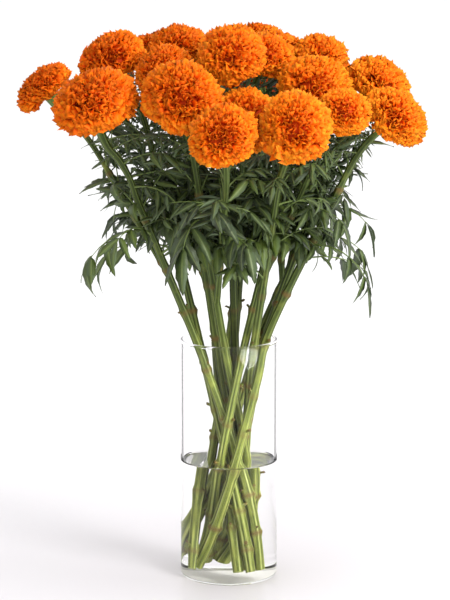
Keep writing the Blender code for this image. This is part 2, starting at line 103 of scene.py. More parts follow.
# %% Camera, floor and light
CAMERA_PLACE = (-0.004, -2.830, 0.784)
CAMERA_DOWN = 9.9
FOCAL_PIXELS = 2800.0
FRAME_HEIGHT = 600.0
SENSOR = 36.0
FAR_CLIP = 60
MIDDLE_OF_FLOWERS = Vector((0, 0, 0.36))
SOFTBOXES = (
    ("key_softbox", (1.55, -1.45, 1.45), 0.9, 44),
    ("top_softbox", (0.8, -0.2, 1.9), 1.2, 10),
)
STRIP_PLACE = (0.669, -0.602, 0.072)
STRIP_FACES = (-0.743, 0.669, 0.0)
STRIP_SIZE = (0.72, 0.032)
STRIP_POWER = 2.2
SURROUND = 1.05
FLOOR_SIZE = 60
FLOOR_DROP = 0.0002
FLOOR_FADE = 2.5
FLOOR_PAINTED_SHADE = ((0.0, "#d4cfd2"), (0.12, "#e1dee1"), (0.4, "#f5f4f6"), (0.7, "#fefefe"))


def add_camera():
    """The camera at the photograph's viewing angle."""
    bpy.ops.object.camera_add(location=CAMERA_PLACE, rotation=(math.radians(90 - CAMERA_DOWN), 0, 0))
    camera = bpy.context.object
    camera.data.sensor_width = SENSOR
    camera.data.lens = SENSOR * FOCAL_PIXELS / FRAME_HEIGHT
    camera.data.clip_end = FAR_CLIP
    bpy.context.scene.camera = camera


def add_lamp(name, place, toward, size, power):
    """A soft rectangular light that faces one way."""
    bpy.ops.object.light_add(type="AREA", location=place)
    lamp = bpy.context.object
    lamp.name = name
    lamp.data.shape = "RECTANGLE"
    lamp.data.size, lamp.data.size_y = size
    lamp.data.energy = power
    lamp.rotation_euler = Vector(toward).to_track_quat("-Z", "Y").to_euler()
    return lamp


def add_glint():
    """A low strip of light at the front right, which only the glass shows, as a narrow highlight."""
    strip = add_lamp("strip_light", STRIP_PLACE, STRIP_FACES, STRIP_SIZE, STRIP_POWER)
    strip.visible_camera = False
    strip.visible_diffuse = False


def add_floor():
    """A pale studio floor with painted shade: darker near the vase, whiter away from it, as where more light
    falls on it.
    """
    bpy.ops.mesh.primitive_plane_add(size=FLOOR_SIZE, location=(0, 0, -FLOOR_DROP))
    floor = bpy.context.object
    floor.name = "studio_floor"
    made, tree, shader = new_material("studio_floor_painted_shade", Roughness=0.35, Specular_IOR_Level=0.25)
    place = add_node(tree, "TexCoord", output="Object")
    away = add_node(tree, "VectorMath", {"operation": "LENGTH"}, {0: place}, "Value")
    share = add_node(tree, "MapRange", {"From Max": FLOOR_FADE}, {"Value": away})
    # Painted shade: the floor's colour darkens towards the vase
    paint = add_node(tree, "ValToRGB", {"stops": FLOOR_PAINTED_SHADE}, {"Fac": share})
    tree.links.new(paint, shader.inputs["Base Color"])
    floor.data.materials.append(made)


def set_world():
    """An even white surround."""
    world = bpy.data.worlds.new("white_surround")
    bpy.context.scene.world = world
    world.use_nodes = True
    back = world.node_tree.nodes["Background"]
    back.inputs["Color"].default_value = linear("#ffffff")
    back.inputs["Strength"].default_value = SURROUND


bpy.ops.object.select_all(action="DESELECT")
add_camera()
for name, place, size, power in SOFTBOXES:
    add_lamp(name, place, MIDDLE_OF_FLOWERS - Vector(place), (size, size), power)
add_glint()
add_floor()
set_world()
bpy.context.scene.view_settings.view_transform = "Standard"
print("camera lens", round(bpy.context.scene.camera.data.lens, 1), "mm")

# %% [markdown]
# The flowers stand where the construction model has them. Its rule is repeated here, because a rule gives the
# exact centre lines, which the solids only hold as facets: the heads are listed by place, size and facing,
# heads that would touch are eased apart, and the stems are drawn as straight lines from the foot of the vase
# to the heads and then pushed clear of each other, of the glass and of the heads.

# %% The arrangement's sizes
VASE_RADIUS = 0.050
VASE_HEIGHT = 0.250
VASE_WALL = 0.003
VASE_INSIDE = VASE_RADIUS - VASE_WALL
VASE_FLOOR = 0.012
WATER_LEVEL = 0.122
GAP = 0.0003
FOOT_RADIUS = 0.0050
TIP_RADIUS = 0.0031
BRANCH_SLIM = 0.84
STEM_CLEAR = 0.0024
STEM_CLEAR_ABOVE = 0.0050
THICKER_ABOVE = 0.25
TWIST_DEGREES = 120.0
TWIST_SPREAD = 30.0
CROSSED_STEMS = (16, 19)
CROSSED_TWIST = -0.90
CROSSED_FORWARD = 0.012
RIM_SPREAD = 0.26
FOOT_SPREAD = 1.45
FOOT_ASIDE = 0.007
STRAIGHT_TO = 0.280
STRAIGHT_PULL = 0.5
BRANCHES = {1: 2, 4: 6, 10: 22, 11: 9, 12: 7, 13: 8, 14: 24, 18: 16, 20: 3, 21: 5, 23: 17}
FORK_STEPS = (28, 31, 29, 30)
FORK_OPENS = 0.050
LEVEL_STEP = 0.010
ROUTE_ROUNDS = 1000
TOP_LEVEL = 0.540
RING_LEVELS = (0.046, 0.080, 0.114, 0.148, 0.182, 0.216, 0.252, 0.300, 0.350, 0.400, 0.450, 0.490)
NECK_DROP = 0.048
NECK_INWARD = 0.78
NECK_KEEP = 0.012
CUP_RADIUS = 0.115
CUP_LENGTH = 0.27
STALK_RADIUS = 0.052
HEAD_WIDEST = 0.19
HEAD_CLEAR = 0.002
HEAD_REACH = (0.52, 0.37)
HEAD_FREEDOM = (0.25, 1.0, 0.15)
EASE_ROUNDS = 300
EASE_SHARE = 0.25
SEED = 24
MAIN_LEAF_SEED = SEED + 1
YOUNG_LEAF_SEED = SEED + 2
LEAFLET_SEED = SEED + 7
FLORET_SEED = SEED + 11
FLOWER_SEED = SEED + 100
STALK_SEED = SEED + 500
SPRAY_SEED = SEED + 900

HEADS = (
    ((-0.187, -0.005, 0.509), 0.062, 195, 50),
    ((-0.124, -0.098, 0.504), 0.083, 260, 56),
    ((-0.110, 0.000, 0.537), 0.067, 240, 50),
    ((-0.084, 0.085, 0.534), 0.062, 120, 74),
    ((-0.056, 0.055, 0.546), 0.068, 250, 74),
    ((-0.074, -0.010, 0.530), 0.062, 240, 50),
    ((-0.047, -0.112, 0.508), 0.081, 265, 40),
    ((0.004, -0.050, 0.545), 0.072, 268, 50),
    ((0.042, 0.005, 0.540), 0.060, 300, 50),
    ((0.036, 0.110, 0.546), 0.056, 80, 72),
    ((0.055, 0.072, 0.542), 0.058, 60, 76),
    ((-0.008, -0.158, 0.480), 0.068, 266, 38),
    ((0.014, -0.088, 0.488), 0.066, 275, 25),
    ((0.086, 0.050, 0.538), 0.060, 300, 66),
    ((0.064, -0.142, 0.484), 0.073, 274, 34),
    ((0.087, -0.045, 0.514), 0.072, 285, 42),
    ((0.148, 0.015, 0.514), 0.070, 320, 52),
    ((0.114, -0.075, 0.494), 0.052, 290, 30),
    ((0.164, -0.058, 0.485), 0.067, 312, 34),
    ((-0.125, 0.105, 0.503), 0.068, 130, 40),
    ((-0.040, 0.140, 0.515), 0.070, 100, 40),
    ((0.035, 0.175, 0.492), 0.068, 85, 28),
    ((0.105, 0.130, 0.505), 0.068, 55, 40),
    ((0.165, 0.080, 0.492), 0.066, 20, 35),
)
widths = [head[1] for head in HEADS]
print(len(HEADS), "flower heads from", min(widths), "to", max(widths), "m across")

# %% Where the heads sit
def facing(azimuth, elevation):
    """The unit vector for degrees round and up."""
    around, up = math.radians(azimuth), math.radians(elevation)
    return np.array((math.cos(up) * math.cos(around), math.cos(up) * math.sin(around), math.sin(up)))


def head_reach(along, axis, size):
    """How far a head reaches from its centre in a direction: a flattened ball."""
    tilt = (along * axis).sum(axis=-1) ** 2
    return size * np.sqrt(HEAD_REACH[0] ** 2 * (1 - tilt) + HEAD_REACH[1] ** 2 * tilt)


def place_heads():
    """Heads that would overlap are moved apart, mostly in depth, as the stems would let them."""
    centers = np.array([place for place, _, _, _ in HEADS])
    sizes = np.array([size for _, size, _, _ in HEADS])
    axes = np.array([facing(azimuth, elevation) for _, _, azimuth, elevation in HEADS])
    freedom = np.array(HEAD_FREEDOM)
    for _ in range(EASE_ROUNDS):
        apart = centers[None, :, :] - centers[:, None, :]
        away = np.linalg.norm(apart, axis=2) + np.eye(len(HEADS))
        along = apart / away[:, :, None]
        reach = head_reach(along, axes[:, None, :], sizes[:, None])
        reach = reach + head_reach(along, axes[None, :, :], sizes[None, :])
        short = np.clip(reach + HEAD_CLEAR - away, 0.0, None) * (1 - np.eye(len(HEADS)))
        centers -= EASE_SHARE * (along * short[:, :, None]).sum(axis=1) * freedom
    return centers, sizes, axes


def neck_ends(centers, sizes, axes):
    """Where each cup starts, and the point below it and nearer the axis that the stem climbs to."""
    seats = centers - axes * (HEAD_WIDEST * sizes)[:, None] - axes * GAP
    bases = seats - axes * (CUP_LENGTH * sizes)[:, None]
    tops = bases * (NECK_INWARD, NECK_INWARD, 1) - np.array((0, 0, NECK_DROP))
    return seats, bases, tops


centers, sizes, axes = place_heads()
seats, bases, tops = neck_ends(centers, sizes, axes)
for spot in (0, 1, 11, 14):
    low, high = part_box(f"bloom_{spot + 1:02d}")
    middle = (np.array(low) + np.array(high)) / 2
    off = 1000 * float(np.linalg.norm(middle - centers[spot]))
    print("head", spot + 1, "lies", round(off, 1), "mm from its solid's middle")

# %% [markdown]
# A stem's route is a row of places, one at each level from the bottom of the water up. A branch has the same
# places as its parent up to the fork. Above, the stems keep further apart than in the vase, and each ends in
# a bent neck, which is held where the head needs it.

# %% Where the stems start and end
SLIM_AT = 0.45


def stem_radius(height):
    """The stem's radius at a height above the table."""
    share = np.clip(height / SLIM_AT, 0.0, 1.0)
    return FOOT_RADIUS + (TIP_RADIUS - FOOT_RADIUS) * share


def neck_places(levels):
    """Where each bent neck is at each level, between the top of the straight stem and the head."""
    knots = np.stack((tops, bases, seats), axis=1)
    return np.array([[[np.interp(z, neck[:, 2], neck[:, axis]) for axis in (0, 1)] for z in levels]
                     for neck in knots])


def stem_starts(levels):
    """Each stem's parent, which is itself unless it is a branch, and the height where it starts."""
    numbers = range(1, len(HEADS) + 1)
    parents = np.array([BRANCHES.get(number, number) - 1 for number in numbers])
    forks = np.array([levels[FORK_STEPS[number % len(FORK_STEPS)]] for number in numbers])
    return parents, np.where(parents == np.arange(len(HEADS)), levels[0], forks)


def branch_lines(ways, levels, parents, starts):
    """Each branch follows its parent up to the fork, and from there a straight line to its own top."""
    for k in np.flatnonzero(parents != np.arange(len(parents))):
        fork = int(np.searchsorted(levels, starts[k]))
        share = np.clip((levels - levels[fork]) / (tops[k, 2] - levels[fork]), 0.0, 1.0)[:, None]
        line = ways[parents[k], fork] * (1 - share) + tops[k, :2] * share
        ways[k] = np.where(share > 0, line, ways[parents[k]])
    return ways


print(len(HEADS) - len(BRANCHES), "stems stand in the vase, and", len(BRANCHES), "branches fork off them")

# %% Where the stems run
WIDENS_OVER = 0.05
RIB_ROOM = 1.08
RIM_ROOM = 0.004
BALL_SHARE = 0.53
BALL_CLEAR = 0.003
NOT_ZERO = 1e-9
EARLY_SHARE = 0.8
BEND_EARLY = 0.3
BEND_LATE = 0.03
BEND_FOOT = 0.2
PUSH_STEMS = 0.4
PUSH_HEADS = 0.3


def straight_lines(levels):
    """Straight lines from the foot of the vase to its rim and on to the tops, as the stems would lean.

    Most lean one way round the bundle; the few crossed ones lean the other way, in front of them.
    """
    draws = np.random.default_rng(SEED)
    rim = tops[:, :2] * RIM_SPREAD
    crossed = np.isin(np.arange(1, len(tops) + 1), CROSSED_STEMS)
    twist = np.radians(TWIST_DEGREES + TWIST_SPREAD * draws.uniform(-1, 1, len(tops)))
    twist = twist * np.where(crossed, CROSSED_TWIST, 1.0)
    turned = np.stack((np.cos(twist) * rim[:, 0] - np.sin(twist) * rim[:, 1],
                       np.sin(twist) * rim[:, 0] + np.cos(twist) * rim[:, 1]), axis=1)
    feet = turned * FOOT_SPREAD + np.array((FOOT_ASIDE, 0))
    in_vase = np.clip((levels - levels[0]) / (VASE_HEIGHT - levels[0]), 0.0, 1.0)
    climb = np.clip((levels[None, :] - VASE_HEIGHT) / (tops[:, 2:3] - VASE_HEIGHT), 0.0, 1.0)
    ways = feet[:, None, :] * (1 - in_vase)[None, :, None] + rim[:, None, :] * in_vase[None, :, None]
    ways = ways + (tops[:, None, :2] - rim[:, None, :]) * climb[:, :, None]
    ways[:, :, 1] -= CROSSED_FORWARD * crossed[:, None] * np.sin(math.pi * in_vase)[None, :]
    return ways


def room_between(levels, radii, held, parents, starts):
    """How far apart each two stems stay at each level; the two arms of a fork open up slowly."""
    above = np.clip((levels - VASE_HEIGHT) / WIDENS_OVER, 0.0, 1.0)
    clear = radii * (1 + THICKER_ABOVE * above) + (STEM_CLEAR + (STEM_CLEAR_ABOVE - STEM_CLEAR) * above) / 2
    clear = np.where(held, NECK_KEEP, clear[None, :])
    clear = clear[None, :, :] + clear[:, None, :]
    later = np.maximum(starts[:, None], starts[None, :])[:, :, None]
    kin = (parents[:, None] == parents[None, :])[:, :, None]
    return np.where(kin, clear * np.clip((levels - later) / FORK_OPENS, 0.0, 1.0), clear)


def room_round_heads(levels, radii):
    """How far from the middle of each head a stem stays at each level."""
    ball = (BALL_SHARE * sizes[None, :]) ** 2 - (levels[:, None] - centers[None, :, 2]) ** 2
    return np.where(ball > 0, np.sqrt(np.abs(ball)) + radii[:, None] + BALL_CLEAR, 0.0)


def bend_in_stems(ways, early):
    """How far each point of a stem lies from the middle of its neighbours, as a share to take back."""
    bend = np.zeros_like(ways)
    bend[:, 1:-1] = (ways[:, :-2] + ways[:, 2:]) / 2 - ways[:, 1:-1]
    bend[:, 0] = (2 * ways[:, 1] - ways[:, 2] - ways[:, 0]) * BEND_FOOT
    return bend * (BEND_EARLY if early else BEND_LATE)


def route_stems():
    """The stems' places at each level: straight lines, then pushed clear of each other, glass and heads.

    Up to just over the rim each is drawn towards the nearest cubic curve, as stiff stems bend.
    """
    levels = np.arange(VASE_FLOOR + GAP, TOP_LEVEL, LEVEL_STEP)
    radii = stem_radius(levels)
    parents, starts = stem_starts(levels)
    ways = branch_lines(straight_lines(levels), levels, parents, starts)
    shared = levels[None, :] <= starts[:, None]
    held = levels[None, :] >= tops[:, 2:3]
    there = (levels[None, :] < seats[:, 2:3]) & (levels[None, :] >= starts[:, None])
    pairs = there[None, :, :] & there[:, None, :] & ~np.eye(len(tops), dtype=bool)[:, :, None]
    necks = neck_places(levels)
    clear = room_between(levels, radii, held, parents, starts)
    ball = room_round_heads(levels, radii)
    room = VASE_RADIUS - VASE_WALL - radii * RIB_ROOM - 2 * GAP
    bound = np.where(levels <= VASE_HEIGHT + RIM_ROOM, room, 1.0)
    low = levels < STRAIGHT_TO
    powers = np.vander((levels[low] - levels[0]) / (STRAIGHT_TO - levels[0]), 4)
    smooth = powers @ np.linalg.pinv(powers)
    for turn in range(ROUTE_ROUNDS):
        early = turn < EARLY_SHARE * ROUTE_ROUNDS
        if early:
            ways[:, low] += STRAIGHT_PULL * (np.einsum("lm,smk->slk", smooth, ways[:, low]) - ways[:, low])
        ways += bend_in_stems(ways, early)
        apart = ways[None, :, :, :] - ways[:, None, :, :]
        away = np.linalg.norm(apart, axis=3) + NOT_ZERO
        short = np.clip(clear - away, 0.0, None) * pairs
        ways -= PUSH_STEMS * (apart / away[..., None] * short[..., None]).sum(axis=1)
        off = ways[:, :, None, :] - centers[None, None, :, :2]
        far = np.linalg.norm(off, axis=3) + NOT_ZERO
        shove = np.clip(ball[None] - far, 0.0, None) * ~held[:, :, None]
        ways += PUSH_HEADS * (off / far[..., None] * shove[..., None]).sum(axis=2)
        out = np.linalg.norm(ways, axis=2) + NOT_ZERO
        ways *= np.minimum(1.0, bound[None, :] / out)[..., None]
        ways = np.where(held[:, :, None], necks, ways)
        ways = np.where(shared[:, :, None], ways[parents], ways)
    return levels, ways, parents, starts


levels, ways, parents, starts = route_stems()
is_branch = parents != np.arange(len(HEADS))
at_rim = int(np.searchsorted(levels, VASE_HEIGHT))
print("stems routed on", len(levels), "levels; widest at the rim",
      round(1000 * float(np.linalg.norm(ways[:, at_rim], axis=1).max()), 1), "mm from the axis")

# %% [markdown]
# The solids hold each stem as a tube through a few rings. The same rings are taken from the routes here, with
# a smooth neck up to the cup, so that the drawn stems lie in the solid ones.

# %% The stems' centre lines
NECK_STEPS = (0.0, 0.36, 0.68, 1.0)
NECK_PULL = 2.6
RING_ROOM = 0.018
CUP_BELLY = (0.25, 0.88)


def stem_path(spot):
    """A stem's centre line and radius from its foot or its fork to the mouth of its cup."""
    way, start, size = ways[spot], starts[spot], sizes[spot]
    seat, base, top = seats[spot], bases[spot], tops[spot]
    rings = [start] + [level for level in RING_LEVELS if start + RING_ROOM < level < top[2] - RING_ROOM]
    slim = BRANCH_SLIM if start > VASE_HEIGHT else 1.0
    points = [(np.interp(z, levels, way[:, 0]), np.interp(z, levels, way[:, 1]), z) for z in rings]
    radii = [float(stem_radius(z)) * slim for z in rings]
    axis = (seat - base) / np.linalg.norm(seat - base)
    climb = (top - points[-1]) / np.linalg.norm(top - points[-1])
    reach = np.linalg.norm(base - top) / NECK_PULL
    pulls = (top, top + climb * reach, base - axis * reach, base)
    for share in NECK_STEPS:
        weights = ((1 - share) ** 3, 3 * share * (1 - share) ** 2, 3 * share ** 2 * (1 - share), share ** 3)
        points.append(tuple(sum(weight * pull for weight, pull in zip(weights, pulls))))
        radii.append(TIP_RADIUS * slim * (1 - share) + STALK_RADIUS * size * share)
    points += [tuple(base + axis * CUP_BELLY[0] * CUP_LENGTH * size), tuple(seat)]
    radii += [CUP_RADIUS * size * CUP_BELLY[1], CUP_RADIUS * size]
    return np.array(points), np.array(radii)


paths = [stem_path(spot) for spot in range(len(HEADS))]
print("a stem's centre line has", len(paths[1][0]), "points, and the finest is",
      round(1000 * min(float(radii.min()) for _, radii in paths), 1), "mm in radius")

# %% [markdown]
# Plants are grown from rules, so their surfaces are worked out as lists of points in numpy and joined to one
# mesh for each stem, each spray of leaves and each head. That is far quicker than thousands of operators.
# Values such as how deep a point lies in the flower are stored on the points as attributes, for the materials
# to read.

# %% From points to a piece
class Gather:
    """Collects small patches of points and faces, with named values on the points, into one mesh."""

    def __init__(self, *names):
        self.points, self.faces, self.count = [], [], 0
        self.values = {name: [] for name in names}

    def add(self, points, faces, **values):
        """One patch: faces index its own points, and a value that isn't given is 0."""
        self.points.append(points)
        self.faces.append(np.asarray(faces) + self.count)
        self.count += len(points)
        for name, kept in self.values.items():
            kept.append(np.broadcast_to(values.get(name, 0.0), (len(points),)))

    def piece(self, name, materials):
        """The finished object, with quads or triangles as given."""
        points = np.concatenate(self.points)
        mesh = bpy.data.meshes.new(name)
        corners = np.concatenate([block.reshape(-1) for block in self.faces])
        sides = np.concatenate([np.full(len(block), block.shape[1]) for block in self.faces])
        mesh.vertices.add(len(points))
        mesh.vertices.foreach_set("co", points.astype(np.float32).reshape(-1))
        mesh.loops.add(len(corners))
        mesh.loops.foreach_set("vertex_index", corners.astype(np.int32))
        mesh.polygons.add(len(sides))
        first = np.concatenate(([0], np.cumsum(sides)[:-1]))
        mesh.polygons.foreach_set("loop_start", first.astype(np.int32))
        mesh.update(calc_edges=True)
        mesh.validate()
        for label, kept in self.values.items():
            store = mesh.attributes.new(label, "FLOAT", "POINT")
            store.data.foreach_set("value", np.concatenate(kept).astype(np.float32))
        for finish in materials:
            mesh.materials.append(finish)
        mesh.shade_smooth()
        made = bpy.data.objects.new(name, mesh)
        bpy.context.scene.collection.objects.link(made)
        return made


def unit(vectors):
    """Vectors at length one."""
    return vectors / (np.linalg.norm(vectors, axis=-1, keepdims=True) + 1e-12)


def grid_faces(rows, columns, closed=False):
    """Quads between the rows of a grid of points; closed joins the last column to the first."""
    across = columns if closed else columns - 1
    row, column = np.meshgrid(np.arange(rows - 1) * columns, np.arange(across), indexing="ij")
    after = (column + 1) % columns
    corners = (row + column, row + after, row + columns + after, row + columns + column)
    return np.stack(corners, axis=-1).reshape(-1, 4)


print("a closed tube of 3 rings and 8 sides has", len(grid_faces(3, 8, True)), "faces")

# %% [markdown]
# The vase is a moulded and fire-polished soda-lime cylinder: a thick bottom, a thin even wall and a rounded
# lip. It starts as a cylinder primitive whose top is inset and pushed down to the floor. Bevels then round
# the lip and the foot. Clear glass shows only by its edges and its glints, so the roundings matter more than
# the walls. The wall bends light much less than real glass would, because the photo shows its sides as no
# more than hairlines. Glass and water throw no shadow here, as nearly all light comes through them.

# %% Glass vase
VASE_SIDES = 160
LIP_ROUND = 0.0013
LIP_STEPS = 4
FOOT_ROUND = 0.0060
FOOT_STEPS = 8
FLOOR_ROUND = 0.0035
FLOOR_STEPS = 6
MENISCUS = 0.0016
PICK_SLACK = 0.0002
WALL_INDEX = 1.04
WALL_GLINT = 0.15
LIP_INDEX = 1.25
WATER_INDEX = 1.333
FOOT_SHADES = ((0.0, "#e9e6e4"), (0.55, "#e9e6e4"), (0.75, "#9c9a97"), (0.9, "#dcd9d7"), (1.0, "#bdbbb8"))


def pick_edges(height, radius):
    """Select the ring of edges at a height and radius."""
    mesh = bpy.context.object.data
    bpy.ops.mesh.select_all(action="DESELECT")
    bpy.ops.object.mode_set(mode="OBJECT")
    for edge in mesh.edges:
        ends = [mesh.vertices[index].co for index in edge.vertices]
        off = [max(abs(end.z - height), abs(math.hypot(end.x, end.y) - radius)) for end in ends]
        edge.select = max(off) < PICK_SLACK
    bpy.ops.object.mode_set(mode="EDIT")
    bpy.ops.mesh.select_mode(type="EDGE")


def pick_top(height):
    """Select the level face at a height."""
    mesh = bpy.context.object.data
    bpy.ops.mesh.select_all(action="DESELECT")
    bpy.ops.object.mode_set(mode="OBJECT")
    for face in mesh.polygons:
        face.select = abs(face.normal.z) > 0.99 and abs(face.center.z - height) < PICK_SLACK
    bpy.ops.object.mode_set(mode="EDIT")
    bpy.ops.mesh.select_mode(type="FACE")


def add_cylinder(name, radius, low, high):
    """A cylinder primitive in edit mode, with its place in its mesh."""
    bpy.ops.object.select_all(action="DESELECT")
    bpy.ops.mesh.primitive_cylinder_add(vertices=VASE_SIDES, radius=radius, depth=high - low,
                                        location=(0, 0, (low + high) / 2))
    made = bpy.context.object
    made.name = name
    bpy.ops.object.transform_apply(location=True, rotation=True, scale=True)
    bpy.ops.object.mode_set(mode="EDIT")
    return made


def make_vase():
    """The glass cylinder with its thick bottom."""
    vase = add_cylinder("glass_vase", VASE_RADIUS, 0.0, VASE_HEIGHT)
    pick_top(VASE_HEIGHT)
    bpy.ops.mesh.inset(thickness=VASE_WALL)
    bpy.ops.mesh.extrude_region_move(TRANSFORM_OT_translate={"value": (0, 0, VASE_FLOOR - VASE_HEIGHT)})
    for height, radius, width, steps in (
            (VASE_HEIGHT, VASE_RADIUS, LIP_ROUND, LIP_STEPS),
            (VASE_HEIGHT, VASE_INSIDE, LIP_ROUND, LIP_STEPS),
            (0.0, VASE_RADIUS, FOOT_ROUND, FOOT_STEPS),
            (VASE_FLOOR, VASE_INSIDE, FLOOR_ROUND, FLOOR_STEPS)):
        pick_edges(height, radius)
        bpy.ops.mesh.bevel(offset=width, segments=steps, affect="EDGES", clamp_overlap=False)
    bpy.ops.object.mode_set(mode="OBJECT")
    bpy.ops.object.shade_smooth_by_angle(angle=math.radians(30))
    return vase


def clear_material(name, index, glint=0.0):
    """Something polished and so clear that only its edges and glints show."""
    return new_material(name, Base_Color=linear("#ffffff"), Roughness=0.0, IOR=index,
                        Transmission_Weight=1.0, Coat_Weight=glint, Coat_Roughness=0.02)[0]


def ground_foot():
    """The underside, ground flat: it scatters the light that falls on it, so the bottom looks pale."""
    made, tree, shader = new_material("ground_glass_foot", Roughness=0.9)
    place = add_node(tree, "TexCoord", output="Object")
    away = add_node(tree, "VectorMath", {"operation": "LENGTH"}, {0: place}, "Value")
    share = add_node(tree, "MapRange", {"From Min": 0.030, "From Max": 0.044}, {"Value": away})
    # A ring of shade just inside the foot's rim, where the round of the glass turns the light away
    shade = add_node(tree, "ValToRGB", {"stops": FOOT_SHADES}, {"Fac": share})
    tree.links.new(shade, shader.inputs["Base Color"])
    return made


def cut_at_water_line(vase):
    """Cut the glass at the water line and give each part its finish: wall, lip, wetted glass and foot."""
    under_lip = VASE_HEIGHT - 2 * LIP_ROUND
    bpy.ops.object.mode_set(mode="EDIT")
    # The second cut, under the lip, keeps the wall's shading straight up to it
    for level in (WATER_LEVEL + MENISCUS, under_lip):
        bpy.ops.mesh.select_all(action="SELECT")
        bpy.ops.mesh.bisect(plane_co=(0, 0, level), plane_no=(0, 0, 1))
    bpy.ops.object.mode_set(mode="OBJECT")
    for face in vase.data.polygons:
        off, height = math.hypot(face.center.x, face.center.y), face.center.z
        if height > WATER_LEVEL + MENISCUS:
            face.material_index = 3 if height > under_lip else 0
        elif off < VASE_INSIDE + PICK_SLACK and height > VASE_FLOOR - 0.001:
            face.material_index = 1
        else:
            face.material_index = 4 if height < 0.0001 else 2


vase = make_vase()
# The wall shows as hairlines at its sides and a glint, which its thin clear coat mirrors
vase.data.materials.append(clear_material("blown_glass_wall", WALL_INDEX, WALL_GLINT))
# Water wets the inner wall: no air lies between the two, so the eye sees no surface there
vase.data.materials.append(new_material("glass_wetted_by_water", Roughness=0.0, Alpha=0.0)[0])
# With water behind it the outer wall bends light as one thick lens, which widens the stems
vase.data.materials.append(clear_material("moulded_glass_with_water_behind", WATER_INDEX))
# The rounded lip bends light more than the wall, so it draws the rim as a bright line
vase.data.materials.append(clear_material("fire_polished_lip", LIP_INDEX))
vase.data.materials.append(ground_foot())
cut_at_water_line(vase)
vase.visible_shadow = False
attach(vase, "root")
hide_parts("vase")
print("vase has", len(vase.data.polygons), "faces")

# %% [markdown]
# Water in a vase clings to the glass, so its surface turns up a little at the wall. The body of water here
# runs a little way into the glass, because a gap of air between the two would mirror the stems in the wrong
# place.

# %% Water
INTO_GLASS = 0.0004
SURFACE_STEPS = ((0.0006, 0.0006), (0.0008, 0.0005), (0.0014, 0.0004), (0.0022, 0.0001))


def make_water():
    """The body of water with its surface turned up at the wall."""
    radius = VASE_INSIDE + INTO_GLASS
    water = add_cylinder("vase_water", radius, VASE_FLOOR - INTO_GLASS, WATER_LEVEL + MENISCUS)
    pick_top(WATER_LEVEL + MENISCUS)
    for inward, down in SURFACE_STEPS:
        bpy.ops.mesh.inset(thickness=inward)
        bpy.ops.transform.translate(value=(0, 0, -down))
    pick_edges(VASE_FLOOR - INTO_GLASS, radius)
    bpy.ops.mesh.bevel(offset=FLOOR_ROUND, segments=FLOOR_STEPS, affect="EDGES", clamp_overlap=False)
    bpy.ops.object.mode_set(mode="OBJECT")
    bpy.ops.object.shade_smooth_by_angle(angle=math.radians(40))
    return water


water = make_water()
# The free surface mirrors the stems and bends what is under it
water.data.materials.append(clear_material("clear_water", WATER_INDEX))
# Against the glass the light passes straight on, so the eye sees no surface there
water.data.materials.append(clear_material("water_against_glass", 1.0))
for face in water.data.polygons:
    if face.normal.z < 0.1:
        face.material_index = 1
water.visible_shadow = False
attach(water, "root")
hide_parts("water")
print("water stands", round(1000 * (WATER_LEVEL - VASE_FLOOR)), "mm deep")

# %% [markdown]
# A marigold stem is not round: it has raised ribs with dark grooves between them, and swollen joints where
# leaves grew. The florist stripped the lower leaves, which left short brown stubs at each joint. Near the
# head the stem swells, pale and smooth, into the green cup, whose edge is a ring of teeth. Most stems fork
# above the rim, and the branch is swept as a stem of its own that starts inside its parent. The centre line
# of the construction model is drawn as a smooth curve here and a ribbed section is swept along it.

# %% Stem curves
RIBS = 6
STEM_SIDES = 21
STEM_PITCH = 0.0055
RIB_DEPTH = 0.15
JOINT_SWELL = 0.36
JOINT_LENGTH = 0.0034


def smooth_line(points, radii, pitch):
    """Points on a smooth curve through a centre line, with the radius and the distance from the foot."""
    ends = np.concatenate(([2 * points[0] - points[1]], points, [2 * points[-1] - points[-2]]))
    line, thick = [], []
    for k in range(len(points) - 1):
        a, b, c, d = ends[k:k + 4]
        steps = max(2, int(np.linalg.norm(c - b) / pitch))
        t = np.linspace(0, 1, steps, endpoint=False)[:, None]
        line.append(b + 0.5 * t * (c - a + t * (2 * a - 5 * b + 4 * c - d + t * (3 * b - a - 3 * c + d))))
        ease = (t[:, 0] ** 2) * (3 - 2 * t[:, 0])
        thick.append(radii[k] + (radii[k + 1] - radii[k]) * ease)
    line = np.concatenate(line + [points[-1:]])
    thick = np.concatenate(thick + [radii[-1:]])
    walked = np.concatenate(([0], np.cumsum(np.linalg.norm(np.diff(line, axis=0), axis=1))))
    return line, thick, walked


def frames_along(line):
    """Two directions square to a curve at each point, turned as little as can be."""
    tangents = unit(np.gradient(line, axis=0))
    side = unit(np.cross(tangents[0], (0, 1, 0)))
    sides = []
    for tangent in tangents:
        side = unit(side - tangent * np.dot(side, tangent))
        sides.append(side)
    sides = np.array(sides)
    return tangents, sides, np.cross(tangents, sides)


curves = [smooth_line(*path, STEM_PITCH) for path in paths]
print("longest stem", round(1000 * max(curve[2][-1] for curve in curves)), "mm from foot to cup")

# %% Joints, ribs and leaf stubs
FIRST_JOINT = (0.012, 0.050)
NEXT_JOINT = (0.040, 0.066)
BARE_TOP = 0.085
RIB_LEVEL = 0.5
RIB_WAVE = 0.36
RIB_UNEVEN = 0.22
RIB_PROUD = 1.6
RIB_BLUNT = 0.7
JOINT_ROUGH = 0.05
CUP_RUN = 0.030
CUP_SMOOTH = 0.55
FOOT_RUN = 0.01
CUT_SHADE = 0.35
TOOTH_STEPS = ((-1, 0.004), (-2, 0.002))
STUBS_UP_TO = 0.30
STUBS_LOST = 0.25
STUB_TURN = 0.3
STUB_UPWARD = (0.3, 1.0)
STUB_LENGTH = (0.0022, 0.0065)
STUB_THICK = (0.30, 0.48)
STUB_SUNK = 0.9
STUB_SIDES = 6
STUB_RAGGED = 0.0006
STUB_RINGS = ((0.0, 1.25, 0.3), (0.4, 0.85, 0.5), (0.8, 0.8, 0.8), (1.0, 0.95, 1.0), (1.0, 0.25, 1.0))


